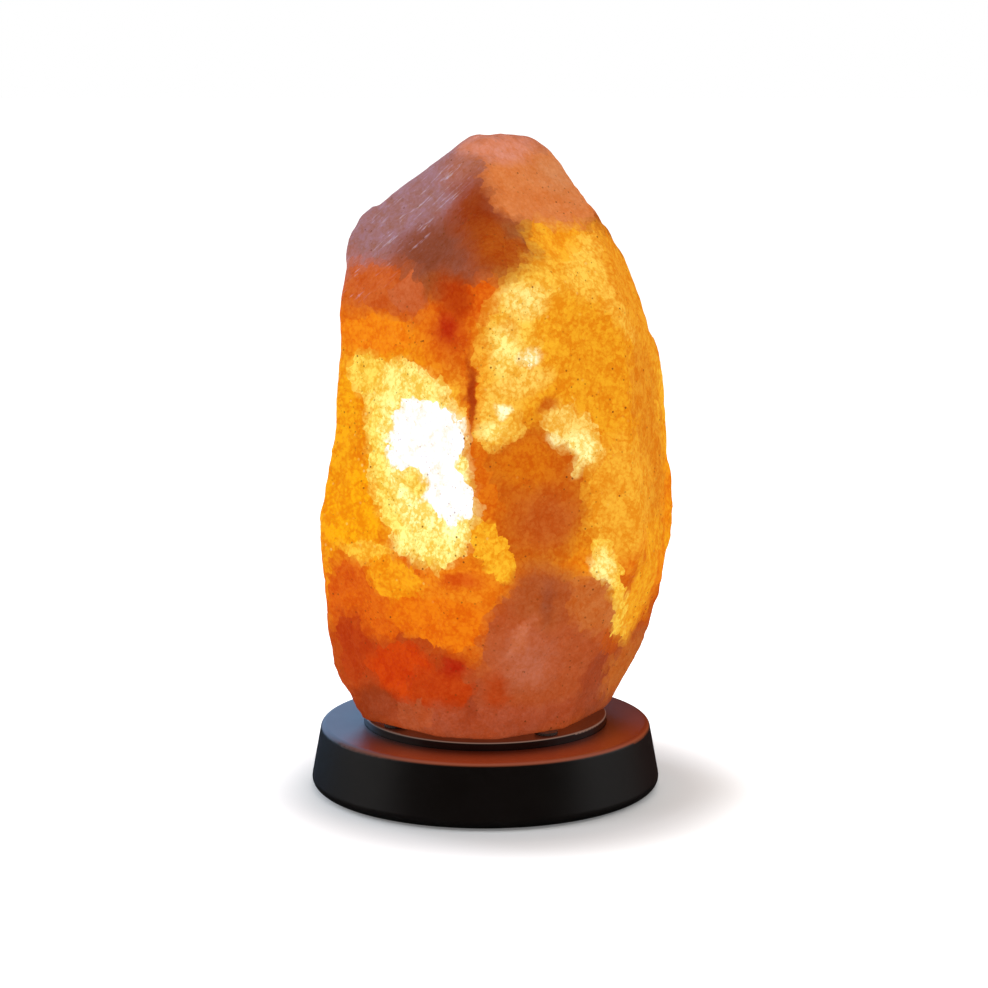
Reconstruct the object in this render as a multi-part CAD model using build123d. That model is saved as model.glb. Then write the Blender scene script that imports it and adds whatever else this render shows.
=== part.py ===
"""Salt crystal lamp: a hewn, bored salt crystal over a candle bulb on a round moulded base.

Millimetres, +Z up, the front faces -Y. The origin is on the axis of the round base, in the
plane of the table that its foot pad stands on.
"""

import os
from math import acos, asin, atan2, cos, degrees, radians, sin, sqrt

from build123d import *

# ---- table and base shell ------------------------------------------------------------------
pad_stand_off = 0.8        # the shell's rim hangs this far above the table
base_bottom_radius = 65.6  # where the side would meet the rim, before its edge is rounded
base_top_radius = 61.3     # where the side would meet the top, before its edge is rounded
base_height = 23.5         # rim to top
base_bottom_round = 3.2
base_top_round = 2.2
top_wall = 3.0
side_wall = 3.4            # at the top, the thinnest place of the side
rib_count = 8
rib_thickness = 1.6
rib_depth = 5.0
hub_radius = 13.0          # boss around the hollow screw
hub_depth = 3.0

# ---- bottom cover, its screws and the foot pad ----------------------------------------------
cover_thickness = 2.5
cover_ledge = 2.2          # width of the step that the cover lies against
cover_gap = 0.3
cover_chamfer = 0.5
screw_count = 4
screw_circle_radius = 49.0
screw_first_angle = 45.0
screw_boss_radius = 4.0
screw_thread_radius = 1.5
screw_head_radius = 2.9
screw_length = 10.0
screw_slot_width = 0.8
screw_slot_depth = 0.7
screw_hole_gap = 0.2
foot_pad_radius = 41.0
foot_pad_sunk = 1.0
foot_pad_seat_gap = 0.2
foot_pad_chamfer = 0.4

# ---- cord inlet ----------------------------------------------------------------------------
inlet_bore_radius = 3.5
inlet_height = 11.5
grommet_waist_radius = 5.0
grommet_flange_radius = 6.8
grommet_flange_thickness = 1.6
grommet_flange_bevel = 0.6
grommet_nose = 4.0         # the sleeve's end stands this far out of its seat
grommet_gap = 0.2

# ---- round plate under the crystal ---------------------------------------------------------
plate_radius = 45.3
plate_thickness = 3.7
plate_edge_round = 0.9
plate_recess_depth = 0.6
plate_recess_gap = 0.2

# ---- hollow screw that clamps lamp holder, plate and base ----------------------------------
hollow_screw_radius = 5.0
hollow_screw_bore_radius = 3.5
hollow_screw_grip = 8.0    # length inside the lamp holder
hollow_screw_end = 1.5     # length beyond the nut
hollow_screw_chamfer = 0.5
nut_across_flats = 14.0
nut_thickness = 4.0
nut_crown = 0.6            # how far the chamfer reaches up the corners
washer_radius = 9.0
washer_thickness = 1.0
washer_notch_radius = 0.7
washer_notch_count = 12

# ---- lamp holder ---------------------------------------------------------------------------
holder_foot_radius = 14.0
holder_foot_height = 10.0
holder_step = 2.0          # height of the slope between foot and skirt
holder_skirt_radius = 12.6
holder_lip = 2.6           # the skirt rises this far past the start of the cap's flare
holder_edge_chamfer = 1.0
holder_floor = 0.9
flare_room_radius = 8.9
grip_groove_count = 16
grip_groove_radius = 0.7
grip_groove_depth = 0.4
contact_block_height = 7.0
contact_block_chamfer = 0.5
terminal_bore_depth = 4.0
tongue_width = 4.0
tongue_thickness = 0.5
tongue_reach = 5.0
tongue_rise = 3.4
contact_gap = 0.1

# ---- screw thread of bulb and lamp holder --------------------------------------------------
thread_pitch = 2.822
cap_thread_turns = 4
shell_thread_turns = 3
cap_core_radius = 6.15
cap_ridge_radius = 6.85
shell_bore_radius = 7.05
shell_ridge_radius = 6.4
shell_wall = 0.6
ridge_root_width = 1.5
ridge_tip_width = 0.5
ridge_sunk = 0.15
cap_wall = 0.5

# ---- bulb ----------------------------------------------------------------------------------
contact_radius = 2.4
contact_height = 1.2
contact_bevel = 0.6
insulator_height = 3.8
insulator_edge_radius = 5.6
insulator_edge_height = 0.8
insulator_tongue = 1.5     # how far it reaches up inside the cap
flare_height = 5.0
flare_radius = 8.2
glass_radius = 17.5
glass_height = 75.0        # from the rim of the cap's flare to the tip
glass_wall = 0.9
glass_neck_radius = 6.6
glass_neck_depth = 4.0
glass_collar_radius = 7.4  # at the rim of the cap's flare
glass_belly_height = 27.0  # of the widest ball's middle over the cap's flare
glass_tip_radius = 5.0
neck_gap = 0.05
stem_radius = 3.2
stem_height = 22.0
stem_taper_height = 9.0
stem_tip_radius = 1.6
support_wire_radius = 0.35
support_spread = 7.0
support_height = 18.0
support_start = 1.0        # from the stem's middle to each wire
support_straight = 4.5
support_bend = 1.5
filament_radius = 0.45
filament_bow = 5.0          # rise of the bow between its ends
filament_overhang = 0.5

# ---- wiring inside the base ----------------------------------------------------------------
terminal_block_width = 17.0
terminal_block_depth = 12.0
terminal_block_height = 8.5
terminal_block_chamfer = 0.8
terminal_block_distance = 31.0
terminal_screw_radius = 1.8
terminal_screw_spacing = 8.0
terminal_row_spacing = 6.0
terminal_screw_height = 1.2
block_screw_radius = 1.5
block_screw_head_radius = 3.0
block_screw_head_height = 1.5
block_screw_head_chamfer = 0.7
lead_radius = 0.95
lead_spacing = 3.0
lead_bend = 4.0
lead_straight = 4.0        # length that runs level out of the terminal block
lead_dip = 4.6             # how far the leads pass below the hollow screw
lead_end_gap = 0.2

# ---- crystal -------------------------------------------------------------------------------
crystal_height = 212.2
crystal_pad_radius = 4.3
crystal_pad_thickness = 1.2
crystal_pad_chamfer = 0.3
crystal_pad_circle_radius = 39.5
crystal_pad_first_angle = -56.0
crystal_pad_count = 4
crystal_axis_shift = 4.0   # the stone's middle lies to the right of the base's axis
crystal_middle = 96.4      # height above the sawn foot that the hewn faces are placed from
hewn_edge_round = 7.0
bore_gap = 5.5             # room round the bulb
bore_headroom = 7.0        # room above the bulb once it is unscrewed
bore_end_cone = 8.0

# A hewn face: where it looks (degrees from the front towards the right), how far it leans
# (degrees above the horizon) and how far it is from the stone's middle.
hewn_faces = {
    "front left": (-38, 5, 48.6),
    "front right": (26, 3, 48.0),
    "right strip": (70, 4, 55.5),
    "right limb": (96, 4, 64.3),
    "right back": (135, 2, 58.0),
    "back": (180, 4, 54.0),
    "left back": (-135, 3, 56.0),
    "left limb": (-94, 6.8, 61.2),
    "upper left": (-43, 33.8, 72.9),
    "upper right": (42, 38.7, 74.8),
    "upper right limb": (82, 23.2, 66.9),
    "top right limb": (88, 36.3, 80.4),
    "top left limb": (-88, 53.8, 98.1),
    "top left shoulder": (-88, 29.6, 84.5),
    "left shoulder": (-66, 16.4, 69.6),
    "right shoulder": (55, 22, 68.5),
    "upper back left": (-140, 38, 84.0),
    "upper back right": (140, 36, 82.0),
    "crown right": (70, 66, 109.0),
    "crown left": (-60, 71, 111.5),
    "crown back": (175, 62, 108.0),
    "lower left limb": (-92, -4.3, 65.4),
    "bottom left limb": (-92, -31.3, 91.8),
    "lower right limb": (92, -13.9, 70.8),
    "bottom right limb": (92, -29, 82.6),
    "lower left": (-64, -12.9, 73.1),
    "lower front left": (-42, -7.2, 56.9),
    "lower front": (-12, -9, 60.3),
    "lower front right": (32, -13, 59.6),
    "lower right": (62, -20, 67.0),
    "lower back right": (130, -20, 72.0),
    "lower back": (178, -14, 64.0),
    "lower back left": (-132, -20, 72.0),
}

# A shell-shaped hollow left by a flake: the face it was struck from, its place on that face
# (to the right and upwards, seen from outside), its radius and its depth.
flake_hollows = (
    ("left limb", 8, 4, 260.0, 3.6),
    ("upper left", 38, -22, 55.0, 3.6),
    ("upper left", -22, 22, 70.0, 1.6),
    ("front right", -16, -34, 130.0, 3.0),
    ("front right", 26, 30, 150.0, 2.4),
    ("front left", -24, 38, 120.0, 2.2),
    ("lower front left", 14, -42, 120.0, 2.4),
    ("right strip", -4, 34, 160.0, 1.8),
    ("back", 12, 10, 150.0, 3.0),
)

# ---- heights and radii that follow from the sizes above --------------------------------------
rim_level = pad_stand_off
top_level = rim_level + base_height
inner_top_level = top_level - top_wall
cover_top_level = rim_level + cover_thickness
hollow_radius = min(base_bottom_radius - base_bottom_round, base_top_radius) - side_wall
cover_radius = hollow_radius + cover_ledge
plate_bottom_level = top_level - plate_recess_depth
plate_top_level = plate_bottom_level + plate_thickness
hub_bottom_level = inner_top_level - hub_depth
washer_bottom_level = hub_bottom_level - washer_thickness
nut_bottom_level = washer_bottom_level - nut_thickness
hollow_screw_bottom_level = nut_bottom_level - hollow_screw_end
hollow_screw_top_level = plate_top_level + hollow_screw_grip
holder_floor_level = hollow_screw_top_level + holder_floor
block_top_level = holder_floor_level + contact_block_height
bulb_level = block_top_level + tongue_rise + contact_gap
insulator_level = bulb_level + contact_height
cap_level = insulator_level + insulator_height
thread_length = cap_thread_turns * thread_pitch
flare_level = cap_level + thread_length
holder_top_level = flare_level + holder_lip
cap_top_level = flare_level + flare_height
glass_top_level = cap_top_level + glass_height
shell_outer_radius = shell_bore_radius + shell_wall
lead_level = inner_top_level - terminal_block_height * 0.5
crystal_level = plate_top_level + crystal_pad_thickness
bore_radius = glass_radius + bore_gap
bore_top_level = glass_top_level + thread_length + bore_headroom
stone_middle = Vector(crystal_axis_shift, 0, crystal_level + crystal_middle)


def disc(radius, bottom, height):
    """Upright round disc or pin on the base's axis."""
    upright = (Align.CENTER, Align.CENTER, Align.MIN)
    return Pos(0, 0, bottom) * Cylinder(radius, height, align=upright)


def tube(outer_radius, inner_radius, bottom, height):
    """Upright tube on the base's axis."""
    return disc(outer_radius, bottom, height) - disc(inner_radius, bottom, height)


def around(radius, count, first_angle):
    """Places on a circle round the base's axis, each turned to face outwards."""
    step = 360.0 / count
    return [Rot(0, 0, first_angle + index * step) * Pos(radius, 0, 0) for index in range(count)]


def turned(points):
    """Solid of revolution round the base's axis from (radius, level) corners."""
    return revolve(Plane.XZ * make_face(Polyline(*points, close=True)), axis=Axis.Z)


def base_body():
    """Moulded shell: tapered side, rounded edges, ribs, hub, screw bosses and inlet hole."""
    outer = turned([
        (0, rim_level),
        (base_bottom_radius, rim_level),
        (base_top_radius, top_level),
        (0, top_level),
    ])
    rings = outer.edges().filter_by(GeomType.CIRCLE).sort_by(Axis.Z)
    outer = fillet(rings[0], base_bottom_round)
    outer = fillet(outer.edges().filter_by(GeomType.CIRCLE).sort_by(Axis.Z)[-1], base_top_round)
    hollow = disc(hollow_radius, rim_level, inner_top_level - rim_level)
    shell = outer - hollow - disc(cover_radius, rim_level, cover_thickness)
    hub = disc(hub_radius, hub_bottom_level, hub_depth)
    rib_start = hub_radius - rib_thickness
    rib_length = hollow_radius + side_wall * 0.5 - rib_start
    rib = Box(rib_length, rib_thickness, rib_depth, align=(Align.MIN, Align.CENTER, Align.MAX))
    for place in around(rib_start, rib_count, 180.0 / rib_count):
        hub += Pos(0, 0, inner_top_level) * place * rib
    boss = disc(screw_boss_radius, cover_top_level, inner_top_level - cover_top_level)
    for place in around(screw_circle_radius, screw_count, screw_first_angle):
        hub += place * boss
    shell += hub
    pilot = disc(screw_thread_radius, cover_top_level, screw_length)
    for place in around(screw_circle_radius, screw_count, screw_first_angle):
        shell -= place * pilot
    recess_radius = plate_radius + plate_recess_gap
    shell -= disc(recess_radius, plate_bottom_level, plate_recess_depth)
    shell -= disc(hollow_screw_radius, hub_bottom_level, plate_top_level - hub_bottom_level)
    seat, inside = inlet_seats()
    outwards = (Align.CENTER, Align.CENTER, Align.MAX)
    widest = max(base_bottom_radius, base_top_radius)
    inlet = Pos(0, inside, inlet_height) * Rot(90, 0, 0)
    shell -= inlet * Cylinder(grommet_waist_radius, widest - inside, align=outwards)
    flat = Pos(0, seat, inlet_height) * Rot(90, 0, 0)
    flat_radius = grommet_flange_radius + grommet_gap
    return shell - flat * Cylinder(flat_radius, widest - seat, align=outwards)


def side_radius(level):
    """Radius of the shell's tapered side at a level."""
    taper = (base_bottom_radius - base_top_radius) / base_height
    return base_bottom_radius - taper * (level - rim_level)


def inlet_seats():
    """Y of the flat that the grommet's outer flange lies on, and of its inner flange."""
    half_width = grommet_flange_radius + grommet_gap
    narrowest = min(side_radius(inlet_height - half_width), side_radius(inlet_height + half_width))
    seat = sqrt(narrowest**2 - half_width**2) - grommet_gap
    inside = sqrt(hollow_radius**2 - half_width**2)
    return seat, inside


def cord_grommet():
    """Rubber sleeve of the cord inlet: two flanges, a waist in the wall and a bore."""
    seat, inside = inlet_seats()
    outer_end = seat + grommet_nose
    outline = make_face(Polyline(
        (inlet_bore_radius, inside - grommet_flange_thickness),
        (grommet_flange_radius - grommet_flange_bevel, inside - grommet_flange_thickness),
        (grommet_flange_radius, inside),
        (grommet_waist_radius, inside),
        (grommet_waist_radius, seat),
        (grommet_flange_radius, seat),
        (grommet_flange_radius, seat + grommet_flange_thickness),
        (grommet_waist_radius, outer_end),
        (inlet_bore_radius, outer_end),
        close=True,
    ))
    return Pos(0, 0, inlet_height) * revolve(outline, axis=Axis.Y)


def seat_plate():
    """Round plate that carries the crystal, with a rounded upper edge."""
    plate = disc(plate_radius, plate_bottom_level, plate_thickness)
    plate = fillet(plate.edges().sort_by(Axis.Z)[-1], plate_edge_round)
    return plate - disc(hollow_screw_radius, plate_bottom_level, plate_thickness)


def hollow_screw():
    """Threaded tube, drawn at its outer thread size, that the leads run through."""
    length = hollow_screw_top_level - hollow_screw_bottom_level
    body = tube(hollow_screw_radius, hollow_screw_bore_radius, hollow_screw_bottom_level, length)
    ends = body.edges().filter_by(GeomType.CIRCLE)
    outer_ends = [edge for edge in ends if edge.radius > hollow_screw_bore_radius]
    return chamfer(outer_ends, hollow_screw_chamfer)


def hollow_screw_nut():
    """Hexagon nut under the hub, with chamfered corners."""
    corner_radius = nut_across_flats / 2 / cos(radians(30))
    outline = Pos(0, 0, nut_bottom_level) * RegularPolygon(corner_radius, 6)
    nut = extrude(outline, nut_thickness)
    crown = turned([
        (0, nut_bottom_level),
        (nut_across_flats / 2, nut_bottom_level),
        (corner_radius, nut_bottom_level + nut_crown),
        (corner_radius, washer_bottom_level),
        (0, washer_bottom_level),
    ])
    return (nut & crown) - disc(hollow_screw_radius, nut_bottom_level, nut_thickness)


def lock_washer():
    """Toothed washer between nut and hub."""
    washer = tube(washer_radius, hollow_screw_radius, washer_bottom_level, washer_thickness)
    notch = disc(washer_notch_radius, washer_bottom_level, washer_thickness)
    for place in around(washer_radius, washer_notch_count, 0):
        washer -= place * notch
    return washer


def bottom_cover():
    """Plate that closes the base from below, with countersunk holes and a seat for the pad."""
    cover = disc(cover_radius - cover_gap, rim_level, cover_thickness)
    cover = chamfer(cover.edges().sort_by(Axis.Z)[0], cover_chamfer)
    hole = disc(screw_thread_radius + screw_hole_gap, rim_level, cover_thickness)
    sink_radius = screw_head_radius + screw_hole_gap
    sink = turned([
        (0, rim_level),
        (sink_radius, rim_level),
        (sink_radius - (screw_head_radius - screw_thread_radius),
         rim_level + screw_head_radius - screw_thread_radius),
        (0, rim_level + screw_head_radius - screw_thread_radius),
    ])
    for place in around(screw_circle_radius, screw_count, screw_first_angle):
        cover -= place * (hole + sink)
    return cover - disc(foot_pad_radius + foot_pad_seat_gap, rim_level, foot_pad_sunk)


def cover_screw():
    """Countersunk screw, head down, with a straight slot."""
    head_height = screw_head_radius - screw_thread_radius
    tip_level = rim_level + screw_length
    body = turned([
        (0, rim_level),
        (screw_head_radius, rim_level),
        (screw_thread_radius, rim_level + head_height),
        (screw_thread_radius, tip_level - screw_thread_radius),
        (0, tip_level),
    ])
    slot = Box(2 * screw_head_radius, screw_slot_width, 2 * screw_slot_depth)
    return body - Pos(0, 0, rim_level) * slot


def foot_pad():
    """Round non-slip pad sunk in the cover, its lower edge broken."""
    pad = disc(foot_pad_radius, 0, pad_stand_off + foot_pad_sunk)
    return chamfer(pad.edges().sort_by(Axis.Z)[0], foot_pad_chamfer)


def thread_ridge(inner, outer, inner_width, outer_width, turns, level):
    """Helical ridge between two radii that starts on the +X side at a level."""
    middle = (inner + outer) / 2
    path = Helix(thread_pitch, turns * thread_pitch, middle)
    start = Plane(origin=path @ 0, x_dir=(1, 0, 0), z_dir=path % 0)
    section = Polygon(
        (inner - middle, -inner_width / 2),
        (outer - middle, -outer_width / 2),
        (outer - middle, outer_width / 2),
        (inner - middle, inner_width / 2),
        align=None,
    )
    return Pos(0, 0, level) * sweep(start * section, path=path, is_frenet=True)


def holder_body():
    """Moulded lamp holder: stepped skirt with grip grooves, thread bore and floor."""
    outline = turned([
        (0, plate_top_level),
        (holder_foot_radius, plate_top_level),
        (holder_foot_radius, plate_top_level + holder_foot_height),
        (holder_skirt_radius, plate_top_level + holder_foot_height + holder_step),
        (holder_skirt_radius, holder_top_level - holder_edge_chamfer),
        (holder_skirt_radius - holder_edge_chamfer, holder_top_level),
        (0, holder_top_level),
    ])
    outline -= disc(shell_outer_radius, holder_floor_level, holder_top_level - holder_floor_level)
    flare_depth = holder_top_level - flare_level + contact_gap
    outline -= disc(flare_room_radius, flare_level - contact_gap, flare_depth)
    outline -= disc(hollow_screw_radius, plate_top_level, hollow_screw_grip)
    outline -= disc(hollow_screw_bore_radius, hollow_screw_top_level, holder_floor)
    groove_length = holder_foot_height - 2 * holder_edge_chamfer
    groove = disc(grip_groove_radius, plate_top_level + holder_edge_chamfer, groove_length)
    groove_circle_radius = holder_foot_radius + grip_groove_radius - grip_groove_depth
    for place in around(groove_circle_radius, grip_groove_count, 0):
        outline -= place * groove
    return outline


def holder_shell():
    """Brass sleeve with the inner screw thread that the bulb turns in."""
    bottom = block_top_level
    sleeve = tube(shell_outer_radius, shell_bore_radius, bottom, flare_level - contact_gap - bottom)
    level = cap_level + thread_pitch * 0.5
    ridge = thread_ridge(
        shell_ridge_radius, shell_bore_radius + ridge_sunk,
        ridge_tip_width, ridge_root_width,
        shell_thread_turns, level,
    )
    return sleeve + ridge


def contact_block():
    """Ceramic block under the bulb with two bores that take the leads."""
    block = disc(shell_outer_radius, holder_floor_level, contact_block_height)
    block = chamfer(block.edges().sort_by(Axis.Z)[0], contact_block_chamfer)
    bore = disc(lead_radius, holder_floor_level, terminal_bore_depth)
    for side in (-1, 1):
        block -= Pos(side * lead_spacing / 2, 0, 0) * bore
    return block


def centre_contact():
    """Bent spring tongue that touches the tip of the bulb."""
    half = tongue_reach / 2
    path = FilletPolyline(
        (-half, 0, block_top_level + tongue_thickness / 2),
        (half, 0, block_top_level + tongue_thickness / 2),
        (half, 0, block_top_level + tongue_rise - tongue_thickness / 2),
        (-half, 0, block_top_level + tongue_rise - tongue_thickness / 2),
        radius=tongue_thickness,
    )
    start = Plane(origin=path @ 0, x_dir=(0, 1, 0), z_dir=path % 0)
    return sweep(start * Rectangle(tongue_width, tongue_thickness), path=path)


def bulb_cap():
    """Screw cap: thin shell with the outer thread and a flared rim round the glass neck."""
    inner_radius = cap_core_radius - cap_wall
    shell = turned([
        (inner_radius, cap_level),
        (cap_core_radius, cap_level),
        (cap_core_radius, flare_level),
        (flare_radius, cap_top_level),
        (glass_collar_radius + neck_gap, cap_top_level),
        (glass_neck_radius + neck_gap, cap_top_level - glass_neck_depth),
        (inner_radius, flare_level),
    ])
    ridge = thread_ridge(
        cap_core_radius - ridge_sunk, cap_ridge_radius,
        ridge_root_width, ridge_tip_width,
        cap_thread_turns - 1, cap_level + thread_pitch,
    )
    return shell + ridge


def cap_insulator():
    """Dark glass cone between the cap and its centre contact."""
    inner_radius = cap_core_radius - cap_wall
    return turned([
        (0, insulator_level),
        (contact_radius + contact_bevel, insulator_level),
        (insulator_edge_radius, cap_level - insulator_edge_height),
        (cap_core_radius, cap_level),
        (inner_radius, cap_level),
        (inner_radius, cap_level + insulator_tongue),
        (0, cap_level + insulator_tongue),
    ])


def bulb_contact():
    """Solder button at the tip of the cap."""
    button = disc(contact_radius, bulb_level, contact_height)
    return chamfer(button.edges().sort_by(Axis.Z)[0], contact_bevel)


def glass_outline(inset):
    """Candle outline in the XZ plane, closed on the axis, drawn inside by an inset.

    A ball at the widest place and a small ball at the tip, with straight sides that touch them.
    """
    neck = (glass_neck_radius - inset, cap_top_level - glass_neck_depth)
    collar = (glass_collar_radius - inset, cap_top_level + neck_gap)
    belly_level = cap_top_level + glass_belly_height
    belly_radius = glass_radius - inset
    tip_level = glass_top_level - glass_tip_radius
    tip_radius = glass_tip_radius - inset
    drop = belly_level - collar[1]
    lower_angle = degrees(acos(belly_radius / sqrt(collar[0]**2 + drop**2)) - atan2(drop, collar[0]))
    upper_angle = degrees(asin((belly_radius - tip_radius) / (tip_level - belly_level)))
    belly = CenterArc((0, belly_level), belly_radius, lower_angle, upper_angle - lower_angle)
    tip = CenterArc((0, tip_level), tip_radius, upper_angle, 90 - upper_angle)
    lines = [
        Line((0, neck[1]), neck),
        Line(neck, collar),
        Line(collar, belly @ 0),
        belly,
        Line(belly @ 1, tip @ 0),
        tip,
        Line(tip @ 1, (0, neck[1])),
    ]
    return Plane.XZ * make_face(lines)


def bulb_glass():
    """Hollow candle envelope with its open neck in the cap."""
    envelope = revolve(glass_outline(0), axis=Axis.Z)
    return envelope - revolve(glass_outline(glass_wall), axis=Axis.Z)


def glass_stem():
    """Glass foot inside the neck that holds the support wires."""
    bottom = cap_top_level - glass_neck_depth
    return turned([
        (0, bottom),
        (glass_neck_radius - glass_wall - neck_gap, bottom),
        (stem_radius, bottom + stem_radius),
        (stem_radius, bottom + stem_height - stem_taper_height),
        (stem_tip_radius, bottom + stem_height),
        (0, bottom + stem_height),
    ])


def support_wire(side):
    """Wire from the stem up and out to one end of the filament."""
    stem_top = cap_top_level - glass_neck_depth + stem_height
    path = FilletPolyline(
        (side * support_start, 0, stem_top),
        (side * support_start, 0, stem_top + support_straight),
        (side * support_spread, 0, stem_top + support_height),
        radius=support_bend,
    )
    start = Plane(origin=path @ 0, z_dir=path % 0)
    return sweep(start * Circle(support_wire_radius), path=path)


def filament():
    """Coiled wire, drawn as a plain bow between the support wires."""
    level = cap_top_level - glass_neck_depth + stem_height + support_height + filament_radius
    path = ThreePointArc(
        (-support_spread - filament_overhang, 0, level),
        (0, 0, level + filament_bow),
        (support_spread + filament_overhang, 0, level),
    )
    start = Plane(origin=path @ 0, z_dir=path % 0)
    return sweep(start * Circle(filament_radius), path=path)


def terminal_places():
    """Places of the four wire screws on the underside of the terminal block."""
    rows = (-terminal_row_spacing / 2, terminal_row_spacing / 2)
    columns = (-terminal_screw_spacing / 2, terminal_screw_spacing / 2)
    level = inner_top_level - terminal_block_height
    return [Pos(x, terminal_block_distance + y, level) for y in rows for x in columns]


def terminal_block():
    """Moulded block under the shell's top that joins the mains cores to the leads."""
    size = (terminal_block_width, terminal_block_depth, terminal_block_height)
    block = Box(*size, align=(Align.CENTER, Align.CENTER, Align.MAX))
    block = Pos(0, terminal_block_distance, inner_top_level) * block
    block = chamfer(block.edges().filter_by(Axis.Z), terminal_block_chamfer)
    upright = (Align.CENTER, Align.CENTER, Align.MIN)
    well = Cylinder(terminal_screw_radius + screw_hole_gap, terminal_screw_height, align=upright)
    for place in terminal_places():
        block -= place * well
    wire_way = Rot(90, 0, 0) * Cylinder(lead_radius, terminal_block_depth)
    for side in (-1, 1):
        block -= Pos(side * terminal_screw_spacing / 2, terminal_block_distance, lead_level) * wire_way
    screw_way = Cylinder(block_screw_radius, terminal_block_height, align=upright)
    level = inner_top_level - terminal_block_height
    return block - Pos(0, terminal_block_distance, level) * screw_way


def terminal_screw():
    """Slotted wire screw in its well."""
    upright = (Align.CENTER, Align.CENTER, Align.MIN)
    screw = Cylinder(terminal_screw_radius, terminal_screw_height, align=upright)
    slot = Box(2 * terminal_screw_radius, screw_slot_width, screw_slot_depth)
    return screw - slot


def block_screw():
    """Pan-head screw that holds the terminal block to the shell's top."""
    level = inner_top_level - terminal_block_height
    head_level = level - block_screw_head_height
    head = disc(block_screw_head_radius, head_level, block_screw_head_height)
    head = chamfer(head.edges().sort_by(Axis.Z)[0], block_screw_head_chamfer)
    shank = disc(block_screw_radius, level, terminal_block_height)
    slot = Box(2 * block_screw_head_radius, screw_slot_width, screw_slot_depth)
    screw = head + shank - Pos(0, 0, head_level) * slot
    return Pos(0, terminal_block_distance, 0) * screw


def lead(side):
    """Insulated lead from the terminal block under the hollow screw and up to the holder."""
    start_y = terminal_block_distance
    near_y = terminal_block_distance - terminal_block_depth / 2
    dip_level = hollow_screw_bottom_level - lead_dip
    path = FilletPolyline(
        (side * terminal_screw_spacing / 2, start_y, lead_level),
        (side * terminal_screw_spacing / 2, near_y - lead_straight, lead_level),
        (side * lead_spacing / 2, 0, dip_level),
        (side * lead_spacing / 2, 0, holder_floor_level + terminal_bore_depth - lead_end_gap),
        radius=lead_bend,
    )
    begin = Plane(origin=path @ 0, z_dir=path % 0)
    return sweep(begin * Circle(lead_radius), path=path)


def hewn_direction(azimuth, lean):
    """Outward direction of a hewn face."""
    level = cos(radians(lean))
    return Vector(sin(radians(azimuth)) * level, -cos(radians(azimuth)) * level, sin(radians(lean)))


def flake_hollow(name, right, up, radius, depth):
    """Ball that leaves one flake's hollow in a hewn face."""
    azimuth, lean, distance = hewn_faces[name]
    outward = hewn_direction(azimuth, lean)
    sideways = Vector(cos(radians(azimuth)), sin(radians(azimuth)), 0)
    upwards = outward.cross(sideways)
    place = stone_middle + outward * (distance + radius - depth) + sideways * right + upwards * up
    return Pos(place.X, place.Y, place.Z) * Sphere(radius)


def hewn_stone():
    """Stone between its hewn faces, every edge rounded, before it is sawn."""
    upright = (Align.CENTER, Align.CENTER, Align.MIN)
    width = 4 * crystal_middle
    block = Box(width, width, crystal_height + crystal_middle - hewn_edge_round, align=upright)
    stone = Pos(stone_middle.X, 0, crystal_level - crystal_middle) * block
    for azimuth, lean, distance in hewn_faces.values():
        outward = hewn_direction(azimuth, lean)
        inset = stone_middle + outward * (distance - hewn_edge_round)
        stone = split(stone, bisect_by=Plane(origin=inset, z_dir=outward), keep=Keep.BOTTOM)
    return offset(stone, hewn_edge_round, kind=Kind.ARC)


def salt_crystal():
    """Hewn and flaked stone, sawn level and bored for the bulb."""
    sawn = Plane.XY.offset(crystal_level)
    stone = split(hewn_stone(), bisect_by=sawn, keep=Keep.TOP)
    for hollow in flake_hollows:
        stone -= flake_hollow(*hollow)
    bore = turned([
        (0, crystal_level),
        (bore_radius, crystal_level),
        (bore_radius, bore_top_level - bore_end_cone),
        (bore_radius - bore_end_cone, bore_top_level),
        (0, bore_top_level),
    ])
    return stone - bore


def crystal_pad():
    """Clear bumper stuck under the crystal's foot."""
    pad = disc(crystal_pad_radius, plate_top_level, crystal_pad_thickness)
    return chamfer(pad.edges().sort_by(Axis.Z)[0], crystal_pad_chamfer)


single_parts = {
    "base_body": base_body,
    "seat_plate": seat_plate,
    "hollow_screw": hollow_screw,
    "lock_washer": lock_washer,
    "hollow_screw_nut": hollow_screw_nut,
    "holder_body": holder_body,
    "holder_shell": holder_shell,
    "contact_block": contact_block,
    "centre_contact": centre_contact,
    "bottom_cover": bottom_cover,
    "foot_pad": foot_pad,
    "cord_grommet": cord_grommet,
    "terminal_block": terminal_block,
    "block_screw": block_screw,
    "bulb_cap": bulb_cap,
    "cap_insulator": cap_insulator,
    "bulb_contact": bulb_contact,
    "bulb_glass": bulb_glass,
    "glass_stem": glass_stem,
    "filament": filament,
    "salt_crystal": salt_crystal,
}

# Repeated parts: the part drawn once and the places that its copies go to.
crystal_pad_places = around(crystal_pad_circle_radius, crystal_pad_count, crystal_pad_first_angle)
repeated_parts = {
    "cover_screw": (cover_screw(), around(screw_circle_radius, screw_count, screw_first_angle)),
    "terminal_screw": (terminal_screw(), terminal_places()),
    "crystal_pad": (crystal_pad(), crystal_pad_places),
}

parts = {name: make() for name, make in single_parts.items()}
for name, (solid, places) in repeated_parts.items():
    for index, place in enumerate(places, start=1):
        parts[f"{name}_{index}"] = place * solid
for name, side in (("left", -1), ("right", 1)):
    parts[f"lead_{name}"] = lead(side)
    parts[f"support_wire_{name}"] = support_wire(side)

os.makedirs("parts", exist_ok=True)
for name, solid in parts.items():
    export_step(solid, f"parts/{name}.step")
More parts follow.
